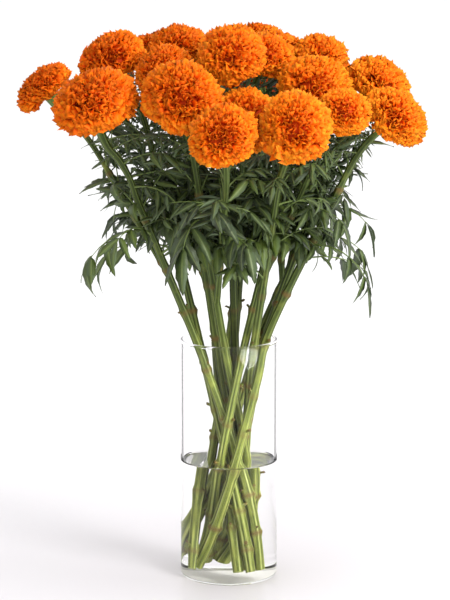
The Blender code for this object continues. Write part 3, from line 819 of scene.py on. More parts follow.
def joint_places(length, draws):
    """Distances from the foot where leaves grew."""
    places, here = [], draws.uniform(*FIRST_JOINT)
    while here < length - BARE_TOP:
        places.append(here)
        here += draws.uniform(*NEXT_JOINT)
    return np.array(places)


def stem_reach(thick, walked, ridge, near, cup, draws):
    """How far the skin stands from the centre line: ribs, swollen joints and a smoother cup."""
    radius = thick * (1 + JOINT_SWELL * near)
    depth = RIB_DEPTH * (1 - CUP_SMOOTH * cup)[:, None] * np.clip(walked / FOOT_RUN, 0.3, 1.0)[:, None]
    reach = radius[:, None] * (1 - depth + RIB_PROUD * depth * ridge[None, :] ** RIB_BLUNT)
    return reach * (1 + JOINT_ROUGH * draws.standard_normal(reach.shape) * near[:, None])


def sweep_stem(gather, curve, joints, draws):
    """The ribbed stem with its swollen joints, its cut foot and its toothed cup."""
    line, thick, walked = curve
    tangents, sides, others = frames_along(line)
    turns = np.linspace(0, 2 * math.pi, STEM_SIDES, endpoint=False)
    phase = draws.uniform(0, 2 * math.pi)
    ridge = RIB_LEVEL + RIB_WAVE * np.cos(RIBS * turns) + RIB_UNEVEN * np.cos((RIBS + 3) * turns + phase)
    ridge = np.clip(ridge, 0, 1)
    near = np.exp(-((walked[:, None] - joints[None, :]) / JOINT_LENGTH) ** 2).sum(axis=1)
    cup = np.clip(1 - (walked[-1] - walked) / CUP_RUN, 0, 1)
    reach = stem_reach(thick, walked, ridge, near, cup, draws)
    cosines, sines = np.cos(turns)[None, :, None], np.sin(turns)[None, :, None]
    points = line[:, None, :] + reach[..., None] * (cosines * sides[:, None, :] + sines * others[:, None, :])
    teeth = 0.5 + 0.5 * np.cos(RIBS * turns)
    for row, rise in TOOTH_STEPS:
        points[row] += tangents[-1] * (rise * teeth)[:, None]
    rows = len(line)
    around = np.broadcast_to(turns / (2 * math.pi), (rows, STEM_SIDES))
    gather.add(points.reshape(-1, 3), grid_faces(rows, STEM_SIDES, True), ridge=np.tile(ridge, rows),
               joint=np.repeat(np.clip(near, 0, 1), STEM_SIDES), cup=np.repeat(cup, STEM_SIDES),
               around=around.reshape(-1), along=np.repeat(walked, STEM_SIDES))
    fan = [(k, STEM_SIDES, (k + 1) % STEM_SIDES) for k in range(STEM_SIDES)]
    gather.add(np.concatenate((points[0], [line[0]])), fan, ridge=1.0, joint=CUT_SHADE)
    return tangents, sides, others


def add_stub(gather, place, way, side, length, thick, draws):
    """A short cut leaf stalk with a ragged brown end."""
    other = np.cross(way, side)
    turns = np.linspace(0, 2 * math.pi, STUB_SIDES, endpoint=False)
    ring = np.cos(turns)[:, None] * side + np.sin(turns)[:, None] * other
    rings = []
    for share, width, _ in STUB_RINGS:
        ragged = STUB_RAGGED * draws.standard_normal(STUB_SIDES) if share == 1.0 else np.zeros(STUB_SIDES)
        rings.append(place + way * (length * share + ragged)[:, None] + ring * thick * width)
    shade = np.repeat([shade for _, _, shade in STUB_RINGS], STUB_SIDES)
    gather.add(np.concatenate(rings), grid_faces(len(rings), STUB_SIDES, True), ridge=0.5, joint=shade)


def make_stalk(spot):
    """One whole stem: ribbed skin, cup and leaf stubs."""
    draws = np.random.default_rng(STALK_SEED + spot)
    gather = Gather("ridge", "joint", "cup", "around", "along")
    line, thick, walked = curves[spot]
    joints = joint_places(walked[-1], draws)
    tangents, sides, others = sweep_stem(gather, curves[spot], joints, draws)
    turn = draws.uniform(0, 2 * math.pi)
    for joint in joints:
        turn += math.pi / 2 + draws.uniform(-STUB_TURN, STUB_TURN)
        k = int(np.searchsorted(walked, joint))
        if line[k][2] > STUBS_UP_TO:
            continue
        for half in (0.0, math.pi):
            if draws.uniform() < STUBS_LOST:
                continue
            out = math.cos(turn + half) * sides[k] + math.sin(turn + half) * others[k]
            way = unit(out + tangents[k] * draws.uniform(*STUB_UPWARD))
            side = unit(np.cross(way, tangents[k]))
            place = line[k] + out * thick[k] * STUB_SUNK
            length, width = draws.uniform(*STUB_LENGTH), thick[k] * draws.uniform(*STUB_THICK)
            add_stub(gather, place, way, side, length, width, draws)
    return gather, joints


grown = [make_stalk(spot) for spot in range(len(HEADS))]

# %% [markdown]
# The skin has a painted highlight on the ribs and painted shade in the grooves: a pale yellow-green in the
# water, as the photograph shows, and a deeper green above the rim. Long fibres break it up, the joints are
# scarred brown, and painted shade darkens the middle of the bundle.

# %% Stem skin
STEM_LOW_PAINTED_RIBS = ((0.0, "#3a4618"), (0.45, "#89923f"), (0.8, "#bdc16c"), (1.0, "#e4e6b0"))
STEM_HIGH_PAINTED_RIBS = ((0.0, "#2c3811"), (0.5, "#56662d"), (1.0, "#8c9b5c"))
STEM_FIBRES = ((0.36, "#6f7c52"), (0.50, "#b9c49c"), (0.64, "#ffffff"))


def stalk_skin():
    """Stem skin: satin green, painted highlight on ribs, painted shade in grooves, brown joints, deeper green
    near the head.
    """
    made, tree, shader = new_material("ribbed_stem_skin", Roughness=0.55, Specular_IOR_Level=0.25,
                                      Subsurface_Weight=0.08, Subsurface_Radius=(0.002, 0.003, 0.001),
                                      Subsurface_Scale=1.0)
    ridge, joint, cup, around, along = (
        add_node(tree, "Attribute", {"attribute_name": name}, output="Fac")
        for name in ("ridge", "joint", "cup", "around", "along"))
    place = add_node(tree, "TexCoord", output="Object")
    height = add_node(tree, "SeparateXYZ", links={0: place}, output="Z")
    # Painted light from the ridge value: painted shade in the grooves, a painted highlight on the ribs
    low = add_node(tree, "ValToRGB", {"stops": STEM_LOW_PAINTED_RIBS}, {"Fac": ridge})
    high = add_node(tree, "ValToRGB", {"stops": STEM_HIGH_PAINTED_RIBS}, {"Fac": ridge})
    blend = add_node(tree, "MapRange", {"From Min": 0.115, "From Max": 0.31}, {"Value": height})
    skin = add_node(tree, "Mix", {"data_type": "RGBA"}, {0: blend, 6: low, 7: high}, 2)
    # Fibres half a millimetre wide and 22 mm long
    streaks = add_node(tree, "CombineXYZ", links={"X": around, "Y": along})
    stretch = add_node(tree, "Mapping", {"Scale": (60.0, 1 / 0.022, 1.0)}, {"Vector": streaks})
    fibre = add_node(tree, "TexNoise", {"Scale": 1.0, "Detail": 4.0}, {"Vector": stretch}, "Fac")
    grain = add_node(tree, "ValToRGB", {"stops": STEM_FIBRES}, {"Fac": fibre})
    skin = add_node(tree, "Mix", {"data_type": "RGBA", "blend_type": "MULTIPLY", 0: 0.7},
                    {6: skin, 7: grain}, 2)
    # Yellower patches, 22 mm across, then a fresher green at the cup and brown scars at the joints
    patches = add_node(tree, "TexNoise", {"Scale": 1 / 0.022, "Detail": 3.0}, {"Vector": place}, "Fac")
    for source, least, most, share, tint in (
            (patches, 0.55, 0.75, 0.35, "#a9b04e"), (cup, 0.0, 1.0, 0.55, "#6f9440"),
            (joint, 0.30, 0.95, 0.9, "#70582c")):
        cover = add_node(tree, "MapRange", {"From Min": least, "From Max": most, "To Max": share},
                         {"Value": source})
        skin = add_node(tree, "Mix", {"data_type": "RGBA", 7: linear(tint)}, {0: cover, 6: skin}, 2)
    # Painted shade: little light reaches the middle of the bundle, 6 to 24 mm from the vase's axis
    level = add_node(tree, "VectorMath", {"operation": "MULTIPLY", 1: (1.0, 1.0, 0.0)}, {0: place})
    off = add_node(tree, "VectorMath", {"operation": "LENGTH"}, {0: level}, "Value")
    bundle_painted_shade = add_node(tree, "MapRange", {"From Min": 0.006, "From Max": 0.024, "To Min": 0.40}, {"Value": off})
    skin = add_node(tree, "Mix", {"data_type": "RGBA", "blend_type": "MULTIPLY", 0: 1.0},
                    {6: skin, 7: bundle_painted_shade}, 2)
    bump = add_node(tree, "Bump", {"Strength": 0.35, "Distance": 0.0004}, {"Height": fibre})
    tree.links.new(skin, shader.inputs["Base Color"])
    tree.links.new(bump, shader.inputs["Normal"])
    return made


stem_finish = stalk_skin()
for spot, (gather, _) in enumerate(grown):
    stalk = gather.piece(f"stalk_{spot + 1:02d}", [stem_finish])
    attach(stalk, "root")
    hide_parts(f"stem_{parents[spot] + 1:02d}")

# %% [markdown]
# Petals and leaflets are thin closed skins. Each kind starts as a grid primitive that is bent into shape,
# doubled, puffed apart a little everywhere but at its rim, and merged along the rim, as by hand. The finished
# kinds are then read as lists of points and copied, each copy with its own size, turn and bend.

# %% Thin closed skins
MERGE_WITHIN = 1e-5
LEAST_BEND = 1e-3


def add_sheet(columns, rows):
    """A grid primitive one unit wide and one unit long, with its foot at the origin."""
    bpy.ops.object.select_all(action="DESELECT")
    bpy.ops.mesh.primitive_grid_add(x_subdivisions=columns, y_subdivisions=rows, size=1, location=(0, 0.5, 0))
    bpy.ops.object.transform_apply(location=True, rotation=True, scale=True)
    return bpy.context.object


def close_sheet(sheet, thickness):
    """Double the sheet, puff the two apart inside the rim, and merge the rim."""
    mesh = sheet.data
    used = np.bincount([index for face in mesh.polygons for index in face.vertices])
    # A point inside the rim of a grid of quads belongs to four of them
    inside = used == 4
    count = len(mesh.vertices)
    bpy.ops.object.mode_set(mode="EDIT")
    bpy.ops.mesh.select_all(action="SELECT")
    bpy.ops.mesh.duplicate()
    bpy.ops.mesh.flip_normals()
    bpy.ops.object.mode_set(mode="OBJECT")
    for index, vertex in enumerate(mesh.vertices):
        if inside[index % count]:
            vertex.co.z += thickness / 2 if index < count else -thickness / 2
    bpy.ops.object.mode_set(mode="EDIT")
    bpy.ops.mesh.select_all(action="SELECT")
    bpy.ops.mesh.remove_doubles(threshold=MERGE_WITHIN)
    bpy.ops.mesh.quads_convert_to_tris()
    bpy.ops.object.mode_set(mode="OBJECT")


def read_sheet(sheet):
    """The points, faces and two blade coordinates of a kind, which is then deleted."""
    mesh = sheet.data
    points = np.array([tuple(vertex.co) for vertex in mesh.vertices])
    faces = np.array([tuple(face.vertices) for face in mesh.polygons])
    blade = np.zeros((len(points), 2))
    for corner, spot in zip(mesh.loops, mesh.uv_layers.active.data):
        blade[corner.vertex_index] = spot.uv
    bpy.data.objects.remove(sheet, do_unlink=True)
    return points, faces, blade[:, 0], blade[:, 1]


def bend_and_place(points, size, bend, place, frame_axes):
    """Copies of a kind: scaled, bent along a circle by an angle, and set in frames; one row for each copy."""
    width, length = size
    across, along, lift = (points[None, :, axis] for axis in (0, 1, 2))
    turn = bend[:, None] * along
    arc = np.where(np.abs(bend) < LEAST_BEND, LEAST_BEND, bend)[:, None]
    ahead = length[:, None] * np.sin(arc * along) / arc + width[:, None] * lift * np.sin(turn)
    rise = length[:, None] * (np.cos(arc * along) - 1) / arc + width[:, None] * lift * np.cos(turn)
    sideways = width[:, None] * across
    wide, long, normal = frame_axes
    return (place[:, None, :] + sideways[..., None] * wide[:, None, :]
            + ahead[..., None] * long[:, None, :] + rise[..., None] * normal[:, None, :])


def many_faces(faces, copies, count):
    """The faces of a kind repeated for each copy."""
    return (faces[None, :, :] + (np.arange(copies) * count)[:, None, None]).reshape(-1, faces.shape[1])


print("a grid of 4 by 4 points has", len(grid_faces(4, 4)), "quads before it is doubled")

# %% [markdown]
# Marigold leaves are pinnate: a thin midrib with pairs of lance-shaped leaflets that have saw-toothed edges,
# and one leaflet at the tip. The leaves that the construction model holds come first, by its own rule and at
# the same places. Younger leaves then fill in at the joints around them, where they clear the stems and the
# heads.

# %% Leaflet kinds
LEAFLET_KINDS = 5
LEAFLET_ROWS = 8
LEAFLET_COLUMNS = 2
LEAFLET_THICK = 0.045
TOOTH_OUT = 1.09
TOOTH_IN = 0.92
TOOTH_BACK = 0.03
FOLD_UP = 0.16
EDGE_WAVE = 0.05


def leaflet_kind(draws):
    """A lance-shaped leaflet with a folded midrib and a saw-toothed edge."""
    sheet = add_sheet(LEAFLET_COLUMNS, LEAFLET_ROWS)
    phase = draws.uniform(0, 6)
    for vertex in sheet.data.vertices:
        side, along = vertex.co.x * 2, vertex.co.y
        half = 0.5 * math.sin(math.pi * min(1.0, along ** 0.8)) ** 0.85 * (1 - 0.15 * along)
        half += 0.02 * (along < 0.05)
        row = round(along * LEAFLET_ROWS)
        edge = abs(side) > 0.9 and 0 < row < LEAFLET_ROWS
        half *= (TOOTH_OUT if row % 2 else TOOTH_IN) if edge else 1.0
        vertex.co.x = side * half
        vertex.co.y = along - (TOOTH_BACK if edge and row % 2 == 0 else 0.0)
        vertex.co.z = FOLD_UP * abs(side) * half + EDGE_WAVE * side * math.sin(5 * along + phase)
    close_sheet(sheet, LEAFLET_THICK)
    return read_sheet(sheet)


leaflet_draws = np.random.default_rng(LEAFLET_SEED)
leaflet_kinds = [leaflet_kind(leaflet_draws) for _ in range(LEAFLET_KINDS)]
print("a leaflet has", len(leaflet_kinds[0][1]), "faces")

# %% Leaves of the construction model
LEAVES_OUTSIDE = 2
LEAVES_INSIDE = 1
OUTSIDE_FROM = 0.115
LEAF_TRIES = 60
LEAF_LOWEST = 0.310
LEAF_SHORTEST = 0.070
LEAF_LONGEST = 0.110
RIB_HALF = 0.0013
LEAFLET_STATIONS = (0.34, 0.56, 0.78)
LEAFLET_LENGTH = 0.38
LEAFLET_HALF = 0.068
LEAFLET_AHEAD = 0.72
LEAFLET_ASIDE = 0.69
LEAFLET_SAG = 0.22
LEAF_STEPS = 12
LEAF_BENDS = 1.2
LEAF_STRAY = 55
LEAF_RISE = (0, 50)
LEAF_DROOP = (50, 140)
HEAD_BALL = 0.56
OWN_STEM_CLEAR = 0.008
LEAF_REACH = 0.150
LEAF_OVER_RIM = 0.040
LEAF_OVER_FORK = 0.030
LEAF_CLEAR = 0.0050
LEAF_TO_STEM = 0.0040
FAR_OFF = 9.0


def leaf_line(root, azimuth, rise, droop, length):
    """A leaf's midrib as two functions of the share of its length, place and heading, and the way across."""
    shares = np.linspace(0, 1, LEAF_STEPS + 1)
    slope = np.radians(rise - droop * shares ** LEAF_BENDS)
    ahead = np.concatenate(([0], np.cumsum(np.cos(slope[:-1]) / LEAF_STEPS))) * length
    up = np.concatenate(([0], np.cumsum(np.sin(slope[:-1]) / LEAF_STEPS))) * length
    out = np.array((math.cos(azimuth), math.sin(azimuth), 0.0))
    across = np.array((-math.sin(azimuth), math.cos(azimuth), 0.0))

    def rib(share):
        return root + out * np.interp(share, shares, ahead) + np.array((0, 0, np.interp(share, shares, up)))

    def heading(share):
        turn = np.interp(share, shares, slope)
        return out * math.cos(turn) + np.array((0, 0, math.sin(turn)))

    return rib, heading, across


def leaf_sheet(root, azimuth, rise, droop, length):
    """Points on the construction model's leaf: its rib, three pairs of leaflets and the one at its tip."""
    rib, heading, across = leaf_line(root, azimuth, rise, droop, length)
    points, faces = [], []
    stops = [0.0]
    for station in LEAFLET_STATIONS:
        stops += [station - 0.045, station + 0.035]
    for stop in stops:
        points += [rib(stop) + across * RIB_HALF, rib(stop) - across * RIB_HALF]
    for k in range(len(stops) - 1):
        a, b = 2 * k, 2 * k + 1
        faces += [(a, b, b + 2), (a, b + 2, a + 2)]
    for k, station in enumerate(LEAFLET_STATIONS):
        reach = LEAFLET_LENGTH * length * (1.0 - 0.25 * abs(station - 0.5))
        for side in (1, -1):
            near = 2 + 4 * k + (0 if side > 0 else 1)
            way = heading(station) * LEAFLET_AHEAD + across * side * LEAFLET_ASIDE
            flat = heading(station) * LEAFLET_ASIDE - across * side * LEAFLET_AHEAD
            start = rib(station) + across * side * RIB_HALF
            sag = np.array((0, 0, -LEAFLET_SAG * reach))
            wide = start + way * reach * 0.45 + sag * 0.25
            points += [wide - flat * LEAFLET_HALF * length, wide + flat * LEAFLET_HALF * length,
                       start + way * reach + sag]
            low, high, end = len(points) - 3, len(points) - 2, len(points) - 1
            faces += [(near, low, near + 2), (near + 2, low, high), (high, low, end)]
    wide, tip = rib(0.93), rib(1.12)
    points += [wide + across * LEAFLET_HALF * length, wide - across * LEAFLET_HALF * length, tip]
    last = 2 * len(stops)
    end = len(points)
    faces += [(last - 2, last - 1, end - 3), (end - 3, last - 1, end - 2), (end - 3, end - 2, end - 1)]
    corners = np.array(points)[np.array(faces)]
    middles = (corners + np.roll(corners, 1, axis=1)) / 2
    return np.concatenate((points, middles.reshape(-1, 3), corners.mean(axis=1)))


def leaf_fits(samples, stem, taken, length):
    """Whether a leaf's points are clear of the stems, the heads and the leaves already there."""
    if samples[:, 2].min() < VASE_HEIGHT + LEAF_OVER_RIM:
        return False
    if np.hypot(samples[:, 0], samples[:, 1]).max() > LEAF_REACH:
        return False
    off = np.linalg.norm(samples[:, None, :] - centers[None, :, :], axis=2)
    if (off < HEAD_BALL * sizes[None, :] + HEAD_CLEAR).any():
        return False
    rest = np.delete(alive, stem, axis=0)
    others, room = np.delete(stem_dots, stem, axis=0)[rest], np.delete(stem_room, stem, axis=0)[rest]
    if (np.linalg.norm(samples[:, None, :] - others[None, :, :], axis=2) < room[None, :]).any():
        return False
    own = np.linalg.norm(samples[:, None, :] - stem_dots[stem][None, :, :], axis=2).min(axis=1)
    beyond = np.linalg.norm(samples - samples[0], axis=1) > 0.3 * length
    if (own[beyond] < OWN_STEM_CLEAR).any():
        return False
    if len(taken) == 0:
        return True
    return np.linalg.norm(samples[:, None, :] - taken[None, :, :], axis=2).min() > LEAF_CLEAR


def grow_main_leaves():
    """Draw the construction model's leaves and keep those that clear every stem, head and other leaf."""
    draws = np.random.default_rng(MAIN_LEAF_SEED)
    grown = [[] for _ in HEADS]
    taken = np.zeros((0, 3))
    wanted = np.where(np.hypot(tops[:, 0], tops[:, 1]) > OUTSIDE_FROM, LEAVES_OUTSIDE, LEAVES_INSIDE)
    for turn in range(LEAVES_OUTSIDE):
        for stem in np.flatnonzero(wanted > turn):
            for _ in range(LEAF_TRIES):
                lowest = max(LEAF_LOWEST, starts[stem] + LEAF_OVER_FORK)
                height = draws.uniform(lowest, tops[stem, 2] - 0.01)
                place = np.array([np.interp(height, levels, ways[stem, :, axis]) for axis in (0, 1)])
                azimuth = math.atan2(place[1], place[0]) + math.radians(draws.normal(0, LEAF_STRAY))
                rise, droop = draws.uniform(*LEAF_RISE), draws.uniform(*LEAF_DROOP)
                length = draws.uniform(LEAF_SHORTEST, LEAF_LONGEST)
                leaf = (np.array((*place, height)), azimuth, rise, droop, length)
                samples = leaf_sheet(*leaf)
                if leaf_fits(samples, stem, taken, length):
                    grown[stem].append(leaf)
                    taken = np.concatenate((taken, samples))
                    break
    return grown, taken


stem_dots = np.concatenate((ways, np.repeat(levels[None, :, None], len(HEADS), axis=0)), axis=2)
alive = (levels[None, :] < seats[:, 2:3]) & (levels[None, :] >= starts[:, None])
stem_room = np.where(levels[None, :] < tops[:, 2:3], FOOT_RADIUS + LEAF_TO_STEM + 0.001, NECK_KEEP)
high_dots = np.where(alive[..., None], stem_dots, FAR_OFF)[:, min(FORK_STEPS):]
main_leaves, leaf_dots = grow_main_leaves()
print(sum(len(leaves) for leaves in main_leaves), "leaves as in the construction model")

# %% [markdown]
# The younger leaves stand in opposite pairs, closer together and shorter towards the head. One that would
# cross a head or a stem, or lie too near another leaf, is tried again with another length and turn, and left
# out if none fits. Heads that face the camera keep more of their stalk bare, as the photograph shows.

# %% Younger leaves at the joints
YOUNG_TRIES = 16
YOUNG_LOWEST = 0.338
BARE_IN_FRONT = 0.040
BARE_BEHIND = 0.016
FACES_CAMERA = -0.5
NEAR_THE_MIDDLE = 0.13
YOUNG_CLEAR = 0.0024
YOUNG_TO_STEM = 0.0050
YOUNG_SPREAD_AT = (0.34, 0.42)
YOUNG_SPREAD = (0.122, 0.154)
YOUNG_OWN_STEM = 0.003
YOUNG_ON_BRANCH = (0.018, 0.030)
YOUNG_ON_STEM = (0.310, 0.345)
YOUNG_STEP = 0.026
YOUNG_STEP_ON_TOP = 0.015
YOUNG_TOP = 0.085
YOUNG_CLOSER_FROM = 0.082
YOUNG_RANGE = 0.11
YOUNG_TURN = 1.9
YOUNG_LENGTH = (0.078, 0.108)
YOUNG_SHORTER = 0.48
YOUNG_STATIONS = (0.35, 0.6, 0.85)
YOUNG_LEAFLET = 0.36


def leaf_marks(leaf, stations, reach):
    """A few points on a leaf: along its midrib and out on its leaflets."""
    rib, heading, across = leaf_line(*leaf)
    marks = [rib(share) for share in (0.3, 0.5, 0.7, 0.9, 1.1)]
    for station in stations:
        for side in (1, -1):
            way = heading(station) * LEAFLET_AHEAD + across * side * LEAFLET_ASIDE
            for share in (0.45, 0.75, 1.0):
                sag = np.array((0, 0, -LEAFLET_SAG * share ** 2))
                marks.append(rib(station) + (way * share + sag) * reach)
    return np.array(marks)


def young_fits(marks, stem, taken, slack):
    """Whether a younger leaf clears the heads, the stems and most other leaves."""
    out = np.hypot(marks[:, 0], marks[:, 1])
    spread = np.interp(marks[:, 2], YOUNG_SPREAD_AT, YOUNG_SPREAD)
    if marks[:, 2].min() < YOUNG_LOWEST or (out > spread).any():
        return False
    off = marks[:, None, :] - centers[None, :, :]
    away = np.linalg.norm(off, axis=2)
    reach = head_reach(off / away[..., None], axes[None, :, :], sizes[None, :]) + HEAD_CLEAR
    if (away < reach).any():
        return False
    room = YOUNG_TO_STEM * np.ones(len(HEADS))
    room[stem] = YOUNG_OWN_STEM
    # The first mark lies at the foot of the leaf, next to its own stem, and isn't held to this
    near = np.linalg.norm(marks[:, None, None, :] - high_dots[None], axis=3).min(axis=2)
    if (near[1:] < room[None, :]).any():
        return False
    return np.linalg.norm(marks[:, None, :] - taken[None, :, :], axis=2).min() > YOUNG_CLEAR * slack


def young_places(stem, draws):
    """Distances along a stem where pairs of younger leaves stand, closer together towards the head."""
    length = curves[stem][2][-1]
    low = draws.uniform(*(YOUNG_ON_BRANCH if is_branch[stem] else YOUNG_ON_STEM))
    in_front = axes[stem, 1] < FACES_CAMERA and abs(centers[stem, 0]) < NEAR_THE_MIDDLE
    high = length - (BARE_IN_FRONT if in_front else BARE_BEHIND)
    return np.concatenate((np.arange(low, length - YOUNG_TOP, YOUNG_STEP),
                           np.arange(length - YOUNG_CLOSER_FROM, high, YOUNG_STEP_ON_TOP)))


def try_young_leaf(place, azimuth, share, trial, draws):
    """A leaf to try at a joint: shorter near the head, and shorter and further round at each trial."""
    azimuth += draws.normal(0, 0.2 + 0.1 * trial)
    length = draws.uniform(*YOUNG_LENGTH) * (1 - YOUNG_SHORTER * share) * (1 - 0.03 * trial)
    rise, droop = draws.uniform(0, 55 + 30 * share), draws.uniform(10, 120 - 60 * share)
    return place.copy(), azimuth, rise, droop, length


def grow_young_leaves(taken):
    """Opposite pairs at each joint above the stripped part, smaller towards the head."""
    draws = np.random.default_rng(YOUNG_LEAF_SEED)
    grown = [[] for _ in HEADS]
    for stem in range(len(HEADS)):
        line, _, walked = curves[stem]
        base = draws.uniform(0, 2 * math.pi)
        for turn, far in enumerate(young_places(stem, draws)):
            place = line[int(np.searchsorted(walked, far))]
            if place[2] < YOUNG_LOWEST:
                continue
            share = min(1.0, (place[2] - YOUNG_LOWEST) / YOUNG_RANGE)
            for half in (0, 1):
                for trial in range(YOUNG_TRIES):
                    azimuth = base + turn * YOUNG_TURN + half * math.pi
                    leaf = try_young_leaf(place, azimuth, share, trial, draws)
                    marks = leaf_marks(leaf, YOUNG_STATIONS, YOUNG_LEAFLET * leaf[4])
                    slack = 1.0 - 0.35 * share if trial < YOUNG_TRIES / 2 else 0.5
                    if young_fits(marks, stem, taken, slack):
                        grown[stem].append((leaf, share))
                        taken = np.concatenate((taken, marks))
                        break
    return grown


young_leaves = grow_young_leaves(leaf_dots)
print(sum(len(leaves) for leaves in young_leaves), "younger leaves")

# %% [markdown]
# Every leaf is then drawn along its line: a thin midrib, three or four pairs of leaflets and one at the tip.
# Large leaflets hang by their weight, and all of them turn a little towards the light outside.

# %% Leaves as meshes
RIB_SIDES = 5
RIB_STOPS = 9
RIB_THINS = 0.72
RIB_FOOT = 1.7
UNDER_RIB = 0.35
PAIRS_FROM = 0.26
PAIRS_TO = 0.90
LONGEST_PAIR_AT = 0.62
TIP_LEAFLET = 1.05
LEAFLET_OPEN = (36, 56)
LEAFLET_LOOSE = 0.02
HEAVY_FROM = 0.045
HANGS = 0.60
LEANS_OUT = 0.8
LEANS_MOST_AT = 0.12
LEAFLET_SIZES = (0.85, 1.15)
LEAFLET_BEND = (38, 22)
TONE_SPREAD = 0.25
RIB_THICK = (0.0006, 0.006)
LEAFLET_LONG = 0.47
MAIN_DROOP = 0.55
MAIN_PAIRS = 3
MAIN_SLIM = 0.31
YOUNG_PAIRS = 4
YOUNG_SLIM = 0.30


def add_rib(gather, rib, across, heading, thick):
    """A leaf's midrib as a thin tapering tube that ends in a point."""
    turns = np.linspace(0, 2 * math.pi, RIB_SIDES, endpoint=False) + math.pi / 2
    rings = []
    for stop in np.linspace(0.0, 1.0, RIB_STOPS):
        normal = np.cross(heading(stop), across)
        width = thick * (1 - RIB_THINS * stop) * (RIB_FOOT if stop == 0 else 1.0)
        rings.append(rib(stop) + width * (np.cos(turns)[:, None] * across + np.sin(turns)[:, None] * normal))
    rings.append(np.tile(rib(1.0), (RIB_SIDES, 1)))
    gather.add(np.concatenate(rings), grid_faces(len(rings), RIB_SIDES, True)[:, ::-1],
               across=0.5, along=0.5, under=UNDER_RIB, rib=1.0)


def place_leaflet(gather, start, way, long, slim, tone, draws):
    """One leaflet, hung and bent down by its weight and turned about its own line."""
    points, faces, blade_u, blade_v = leaflet_kinds[draws.integers(LEAFLET_KINDS)]
    weight = min(1.0, long / HEAVY_FROM)
    way = unit(way + np.array((0, 0, draws.normal(-0.05 - HANGS * weight, 0.16))))
    outward = np.array((start[0], start[1], 0.0)) / LEANS_MOST_AT
    normal = np.array((0, 0, 1.0)) + LEANS_OUT * outward + 0.45 * draws.normal(0, 1, 3)
    normal = unit(normal - way * np.dot(normal, way))
    wide = np.cross(way, normal)
    long = long * draws.uniform(*LEAFLET_SIZES)
    size = (np.array([long * slim * draws.uniform(*LEAFLET_SIZES)]), np.array([long]))
    bend = np.array([math.radians(draws.normal(*LEAFLET_BEND))])
    turned = (wide[None, :], way[None, :], normal[None, :])
    placed = bend_and_place(points, size, bend, start[None, :], turned)[0]
    under = 1.0 * (points[:, 2] < FOLD_UP * np.abs(points[:, 0]))
    gather.add(placed, faces, across=blade_u, along=blade_v, under=under,
               tone=np.clip(tone + TONE_SPREAD * draws.uniform(-1, 1), 0, 1))


def add_leaf(gather, leaf, pairs, reach, slim, draws):
    """One leaf: its midrib, its pairs of leaflets and the one at its tip."""
    rib, heading, across = leaf_line(*leaf)
    length = leaf[4]
    add_rib(gather, rib, across, heading, RIB_THICK[0] + RIB_THICK[1] * length)
    tone = draws.uniform(0, 1)
    for number, station in enumerate(np.linspace(PAIRS_FROM, PAIRS_TO, pairs)):
        big = reach * length * (1.0 - 0.5 * abs(station - LONGEST_PAIR_AT))
        big *= 0.55 + 0.45 * min(1.0, (number + 1) / 2)
        for side in (1, -1):
            spread = math.radians(draws.uniform(*LEAFLET_OPEN))
            way = heading(station) * math.cos(spread) + across * side * math.sin(spread)
            start = rib(station + draws.uniform(-LEAFLET_LOOSE, LEAFLET_LOOSE))
            place_leaflet(gather, start, way, big, slim, tone, draws)
    place_leaflet(gather, rib(0.97), heading(1.0), reach * length * TIP_LEAFLET, slim, tone, draws)


def make_spray(spot):
    """All the leaves that stand on one stem."""
    draws = np.random.default_rng(SPRAY_SEED + spot)
    gather = Gather("across", "along", "under", "rib", "tone")
    for root, azimuth, rise, droop, length in main_leaves[spot]:
        leaf = (root, azimuth, rise, MAIN_DROOP * droop, length)
        add_leaf(gather, leaf, MAIN_PAIRS, LEAFLET_LONG, MAIN_SLIM, draws)
    for leaf, share in young_leaves[spot]:
        add_leaf(gather, leaf, YOUNG_PAIRS, LEAFLET_LONG - 0.03 * share, YOUNG_SLIM - 0.05 * share, draws)
    return gather


sprays = [make_spray(spot) for spot in range(len(HEADS))]
print("the leaves have", sum(gather.count for gather in sprays), "points")

# %% [markdown]
# A leaf is a dull satin green whose shade varies from leaf to leaf. The pale midrib and side veins lie a
# little lower than the blade, and the underside is greyer.

# %% Leaf skin
LEAF_TONES = ((0.0, "#252f15"), (0.5, "#394918"), (1.0, "#566823"))


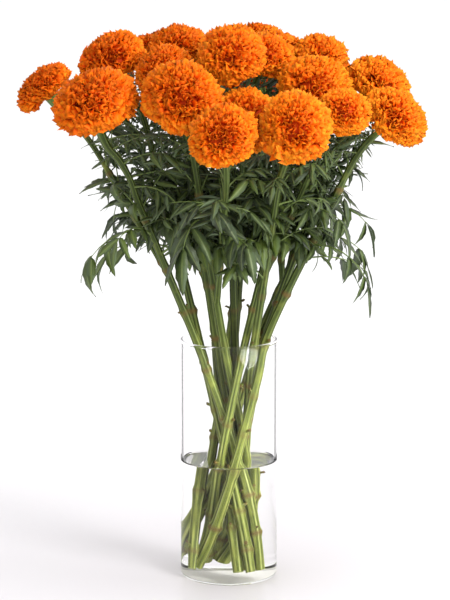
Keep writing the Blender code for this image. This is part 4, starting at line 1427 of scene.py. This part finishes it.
def leaf_skin():
    """Leaf blade: dark green and satin, a pale midrib with side veins, a greyer dull underside."""
    made, tree, shader = new_material("marigold_leaf_blade", Roughness=0.5)
    across, along, tone, under, rib = (
        add_node(tree, "Attribute", {"attribute_name": name}, output="Fac")
        for name in ("across", "along", "tone", "under", "rib"))
    offset = add_node(tree, "Math", {"operation": "SUBTRACT", 1: 0.5}, {0: across})
    aside = add_node(tree, "Math", {"operation": "ABSOLUTE"}, {0: offset})
    midrib = add_node(tree, "MapRange", {"From Min": 0.10, "From Max": 0.02}, {"Value": aside})
    # Ten pairs of side veins to a leaflet, 3 to 4 mm apart on a large one
    slant = add_node(tree, "Math", {"operation": "MULTIPLY_ADD", 1: -0.55}, {0: aside, 2: along})
    wave = add_node(tree, "Math", {"operation": "MULTIPLY", 1: 62.0}, {0: slant})
    comb = add_node(tree, "Math", {"operation": "SINE"}, {0: wave})
    veins = add_node(tree, "MapRange", {"From Min": 0.75, "From Max": 1.0, "To Max": 0.16}, {"Value": comb})
    # Lighter patches, 8 mm across
    place = add_node(tree, "TexCoord", output="Object")
    patches = add_node(tree, "TexNoise", {"Scale": 1 / 0.008, "Detail": 3.0}, {"Vector": place}, "Fac")
    light = add_node(tree, "MapRange", {"From Min": 0.45, "From Max": 0.8, "To Max": 0.35},
                     {"Value": patches})
    pale = add_node(tree, "MapRange", {"To Max": 0.35}, {"Value": midrib})
    dull = add_node(tree, "MapRange", {"To Max": 0.55}, {"Value": under})
    skin = add_node(tree, "ValToRGB", {"stops": LEAF_TONES}, {"Fac": tone})
    for share, tint in ((light, "#5a7034"), (veins, "#71864c"), (pale, "#8a9a56"), (dull, "#66795a"),
                        (rib, "#6c7f3e")):
        skin = add_node(tree, "Mix", {"data_type": "RGBA", 7: linear(tint)}, {0: share, 6: skin}, 2)
    height = add_node(tree, "Math", {"operation": "ADD"}, {0: midrib, 1: veins})
    bump = add_node(tree, "Bump", {"Strength": 0.4, "Distance": 0.0003, "invert": True}, {"Height": height})
    tree.links.new(skin, shader.inputs["Base Color"])
    tree.links.new(bump, shader.inputs["Normal"])
    return made


leaf_finish = leaf_skin()
for spot, gather in enumerate(sprays):
    spray = gather.piece(f"leaves_{spot + 1:02d}", [leaf_finish])
    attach(spray, "root")
    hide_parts(f"stem_{parents[spot] + 1:02d}")

# %% [markdown]
# A double marigold head is a pompom of some hundreds of ray florets. Each fans out from a narrow foot into a
# ruffled, notched blade. The outer ones are wide and curl outwards, the inner ones are short, rolled and
# crowded, so the middle looks darker. A few ruffled kinds are shaped and then set around a flattened dome by
# the golden angle, the way that plants space their florets. Each head has a curl and a breadth of its own.

# %% Floret kinds
BLADE_KINDS = 10
BLADE_GRID = (6, 3)
BLADE_RUFFLE = 0.20
FRILL_KINDS = 8
FRILL_GRID = (6, 2)
FRILL_RUFFLE = 0.27
FLORET_THICK = 0.05


def floret_kind(grid, ruffle, draws):
    """A petal that fans out from a point at its foot to a wavy, notched edge."""
    sheet = add_sheet(*grid)
    phase, waves = draws.uniform(0, 6.28), draws.uniform(1.2, 2.3)
    cup, lean = draws.uniform(-0.5, 0.5), draws.uniform(-0.15, 0.15)
    for vertex in sheet.data.vertices:
        side, along = vertex.co.x * 2, vertex.co.y ** 0.62
        half = 0.5 * along ** 0.9 * (1.12 - 0.12 * along)
        wave = along ** 2 * ruffle * math.sin(math.pi * waves * side + phase)
        notch = 0.05 * math.cos(2.6 * math.pi * side + phase) + 0.03 * draws.uniform(-1, 1) - 0.22 * side ** 4
        vertex.co.x = side * half + lean * along ** 2
        vertex.co.z = cup * (side * half) ** 2 * 1.6 + wave
        vertex.co.y = along + along ** 5 * notch
    close_sheet(sheet, FLORET_THICK)
    return read_sheet(sheet)


floret_draws = np.random.default_rng(FLORET_SEED)
floret_kinds = [floret_kind(BLADE_GRID, BLADE_RUFFLE, floret_draws) for _ in range(BLADE_KINDS)]
floret_kinds += [floret_kind(FRILL_GRID, FRILL_RUFFLE, floret_draws) for _ in range(FRILL_KINDS)]
print("a blade has", len(floret_kinds[0][1]), "faces and a frill", len(floret_kinds[-1][1]))

# %% Heads
GOLDEN_ANGLE = math.pi * (3 - math.sqrt(5))
FLORETS_LEAST = 330
SMALLEST_HEAD = 0.056
FLORETS_PER_METRE = 5000.0
DOME_WIDE = 0.472
DOME_HIGH = 0.285
DOME_LOW = 0.17
DOME_TURN = math.radians(116)
DOME_CROWD = 0.58
POLAR_LOOSE = 0.03
AROUND_LOOSE = 0.12
TWO_LOBES = 0.060
FIVE_LOBES = 0.035
NINE_LOBES = 0.025
LOBE_LOOSE = 0.032
FRILLS_TO = math.radians(62)
HEAD_CURL = (58, 108)
HEAD_BREADTH = (0.0, 0.07)
OUTER_FROM = 0.35
OUTER_RUN = 1.1
BEND_LOOSE = 20
LEAN_OF_BEND = 0.42
INNER_WIDTH = 0.118
OUTER_WIDTH = 0.070
WIDTH_LOOSE = (0.8, 1.25)
LENGTH_LOOSE = (0.97, 1.05)
TONE_LEVEL = 0.33
PAINTED_LIGHT_ACROSS = 1.8
PAINTED_LIGHT_SIDES = (-0.12, 0.16)
TONE_OUTER = 0.40
TONE_LOOSE = 0.18
CORE_WIDE = 0.34
CORE_HIGH = 0.20
CORE_LOW = 0.14


def core_kind():
    """The flower's packed middle as a ball, which closes the gaps between the florets."""
    bpy.ops.object.select_all(action="DESELECT")
    bpy.ops.mesh.primitive_ico_sphere_add(subdivisions=2, radius=1.0, location=(0, 0, 0))
    return read_sheet(bpy.context.object)[:2]


def dome_tips(spot, count, side, other, draws):
    """Each floret's angle from the middle of the head, and its place on the flattened and lumpy dome."""
    share = (np.arange(count) + 0.5) / count
    polar = DOME_TURN * share ** DOME_CROWD + draws.normal(0, POLAR_LOOSE, count)
    around = np.arange(count) * GOLDEN_ANGLE + draws.normal(0, AROUND_LOOSE, count)
    out = np.cos(around)[:, None] * side + np.sin(around)[:, None] * other
    lumps = TWO_LOBES * np.sin(2 * around + draws.uniform(0, 6)) * np.sin(polar)
    lumps += FIVE_LOBES * np.sin(5 * around + draws.uniform(0, 6)) * np.sin(2.5 * polar + draws.uniform(0, 6))
    lumps += NINE_LOBES * np.sin(9 * around + draws.uniform(0, 6)) * np.sin(polar)
    lobe = 1 + lumps + LOBE_LOOSE * draws.normal(0, 1, count)
    high = np.where(polar < math.pi / 2, DOME_HIGH, DOME_LOW)
    return polar, centers[spot] + sizes[spot] * lobe[:, None] * (
        DOME_WIDE * np.sin(polar)[:, None] * out + (high * np.cos(polar))[:, None] * axes[spot])


def floret_frames(axis, radial, outer, bend, draws):
    """Across, along and out of each blade: it leans as it bends, and the inner ones are rolled about."""
    count = len(bend)
    around_way = unit(np.cross(radial, axis + 0.15 * draws.normal(0, 1, (count, 3))))
    upward = np.cross(around_way, radial)
    lean = LEAN_OF_BEND * bend
    long = np.cos(lean)[:, None] * radial + np.sin(lean)[:, None] * upward
    long = unit(long + draws.normal(0, 0.10, (count, 3)))
    wide = unit(around_way - long * (around_way * long).sum(axis=1)[:, None])
    normal = np.cross(wide, long)
    roll = draws.normal(0, 0.45, count) + (1 - outer) * draws.uniform(-1.5, 1.5, count)
    wide, normal = (np.cos(roll)[:, None] * wide + np.sin(roll)[:, None] * normal,
                    np.cos(roll)[:, None] * normal - np.sin(roll)[:, None] * wide)
    return wide, long, normal


def grow_florets(spot, side, other, draws):
    """For each floret of a head its kind, tone, foot, frame, bend, width and length."""
    size, axis, seat = sizes[spot], axes[spot], seats[spot]
    curl, broad = draws.uniform(*HEAD_CURL), draws.uniform(*HEAD_BREADTH)
    count = int(FLORETS_LEAST + FLORETS_PER_METRE * (size - SMALLEST_HEAD))
    polar, tips = dome_tips(spot, count, side, other, draws)
    foot = seat + 0.02 * size * axis + 0.52 * (tips - seat)
    outer = np.clip((polar - OUTER_FROM) / OUTER_RUN, 0, 1)
    bend = np.radians(draws.normal(0, BEND_LOOSE, count) + curl * outer)
    turned = floret_frames(axis, unit(tips - foot), outer, bend, draws)
    # A bent blade is longer than the straight way from its foot to its tip
    chord = np.sinc(bend / 2 / math.pi)
    length = np.linalg.norm(tips - foot, axis=1) / chord * draws.uniform(*LENGTH_LOOSE, count)
    width = size * (INNER_WIDTH + (OUTER_WIDTH + broad) * outer) * draws.uniform(*WIDTH_LOOSE, count)
    kind = np.where(polar < FRILLS_TO, BLADE_KINDS + draws.integers(FRILL_KINDS, size=count),
                    draws.integers(BLADE_KINDS, size=count))
    # Painted light: heads on the right are coloured yellower, as if they faced the soft box more
    light = TONE_LEVEL + PAINTED_LIGHT_ACROSS * float(np.clip(centers[spot, 0], *PAINTED_LIGHT_SIDES))
    tone = np.clip(light + TONE_OUTER * outer + draws.normal(0, TONE_LOOSE, count), 0, 1)
    return kind, tone, foot, turned, bend, width, length


def make_flower(spot):
    """One head: florets on a lumpy dome round a packed core of their own colour."""
    draws = np.random.default_rng(FLOWER_SEED + spot)
    side = unit(np.cross(axes[spot], (0.3, 0.1, 1.0)))
    other = np.cross(axes[spot], side)
    kind, tone, foot, turned, bend, width, length = grow_florets(spot, side, other, draws)
    gather = Gather("across", "along", "tone")
    for number, (points, faces, blade_u, blade_v) in enumerate(floret_kinds):
        chosen = np.flatnonzero(kind == number)
        copies = len(chosen)
        if copies == 0:
            continue
        placed = bend_and_place(points, (width[chosen], length[chosen]), bend[chosen], foot[chosen],
                                [way[chosen] for way in turned])
        gather.add(placed.reshape(-1, 3), many_faces(faces, copies, len(points)),
                   across=np.tile(blade_u, copies), along=np.tile(blade_v, copies),
                   tone=np.repeat(tone[chosen], len(points)))
    points, faces = core
    high = np.where(points[:, 2:] > 0, CORE_HIGH, CORE_LOW)
    ball = centers[spot] + sizes[spot] * (
        CORE_WIDE * points[:, :1] * side + CORE_WIDE * points[:, 1:2] * other
        + high * points[:, 2:] * axes[spot])
    # The core takes the petals' dark foot colour, painted shade as between the florets
    gather.add(ball, faces, across=0.5, along=0.45, tone=0.2)
    return gather


core = core_kind()
flowers = [make_flower(spot) for spot in range(len(HEADS))]
print("the heads have", sum(gather.count for gather in flowers), "points")

# %% [markdown]
# The petals are matt and velvety. Their colour runs from a deep red-brown at the foot, painted shade as down
# in the gaps, to orange and yellow at the edge, and from one floret to the next, so the head keeps its depth
# in flat light.
# Heads on the right get painted light: they are coloured yellower.

# %% Petal skin
PETAL_COLOUR_AND_GAP_SHADE = ((0.25, "#a83000"), (0.55, "#d84c00"), (0.80, "#f56f00"), (1.0, "#ff8c10"))
PETAL_TONES = ((0.0, "#c44000"), (0.5, "#f27000"), (1.0, "#ffa01c"))


def petal_skin():
    """Petal: velvety, painted shade of deep red-brown down in the gaps, orange above, yellower at the ruffled
    edge.
    """
    made, tree, shader = new_material("marigold_petal", Roughness=0.55, Specular_IOR_Level=0.12,
                                      Sheen_Weight=0.05, Sheen_Tint=linear("#ffb060"))
    across, along, tone = (add_node(tree, "Attribute", {"attribute_name": name}, output="Fac")
                           for name in ("across", "along", "tone"))
    # Painted shade: deep red-brown at the petal's foot, as down in the gaps between florets
    depth = add_node(tree, "ValToRGB", {"stops": PETAL_COLOUR_AND_GAP_SHADE}, {"Fac": along})
    bright = add_node(tree, "ValToRGB", {"stops": PETAL_TONES}, {"Fac": tone})
    share = add_node(tree, "MapRange", {"From Min": 0.4, "From Max": 0.9, "To Max": 0.6}, {"Value": along})
    body = add_node(tree, "Mix", {"data_type": "RGBA"}, {0: share, 6: depth, 7: bright}, 2)
    # Fine lines along the petal, about 0.7 mm apart
    streaks = add_node(tree, "CombineXYZ", links={"X": across, "Y": along, "Z": tone})
    stretch = add_node(tree, "Mapping", {"Scale": (14.0, 1.5, 30.0)}, {"Vector": streaks})
    fibre = add_node(tree, "TexNoise", {"Scale": 1.0, "Detail": 3.0}, {"Vector": stretch}, "Fac")
    line = add_node(tree, "MapRange", {"From Min": 0.45, "From Max": 0.75, "To Max": 0.35}, {"Value": fibre})
    skin = add_node(tree, "Mix", {"data_type": "RGBA", 7: linear("#e04800")}, {0: line, 6: body}, 2)
    bump = add_node(tree, "Bump", {"Strength": 0.3, "Distance": 0.0004}, {"Height": fibre})
    tree.links.new(skin, shader.inputs["Base Color"])
    tree.links.new(bump, shader.inputs["Normal"])
    return made


petal_finish = petal_skin()
for spot, gather in enumerate(flowers):
    flower = gather.piece(f"flower_{spot + 1:02d}", [petal_finish])
    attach(flower, "root")
    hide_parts(f"bloom_{spot + 1:02d}")
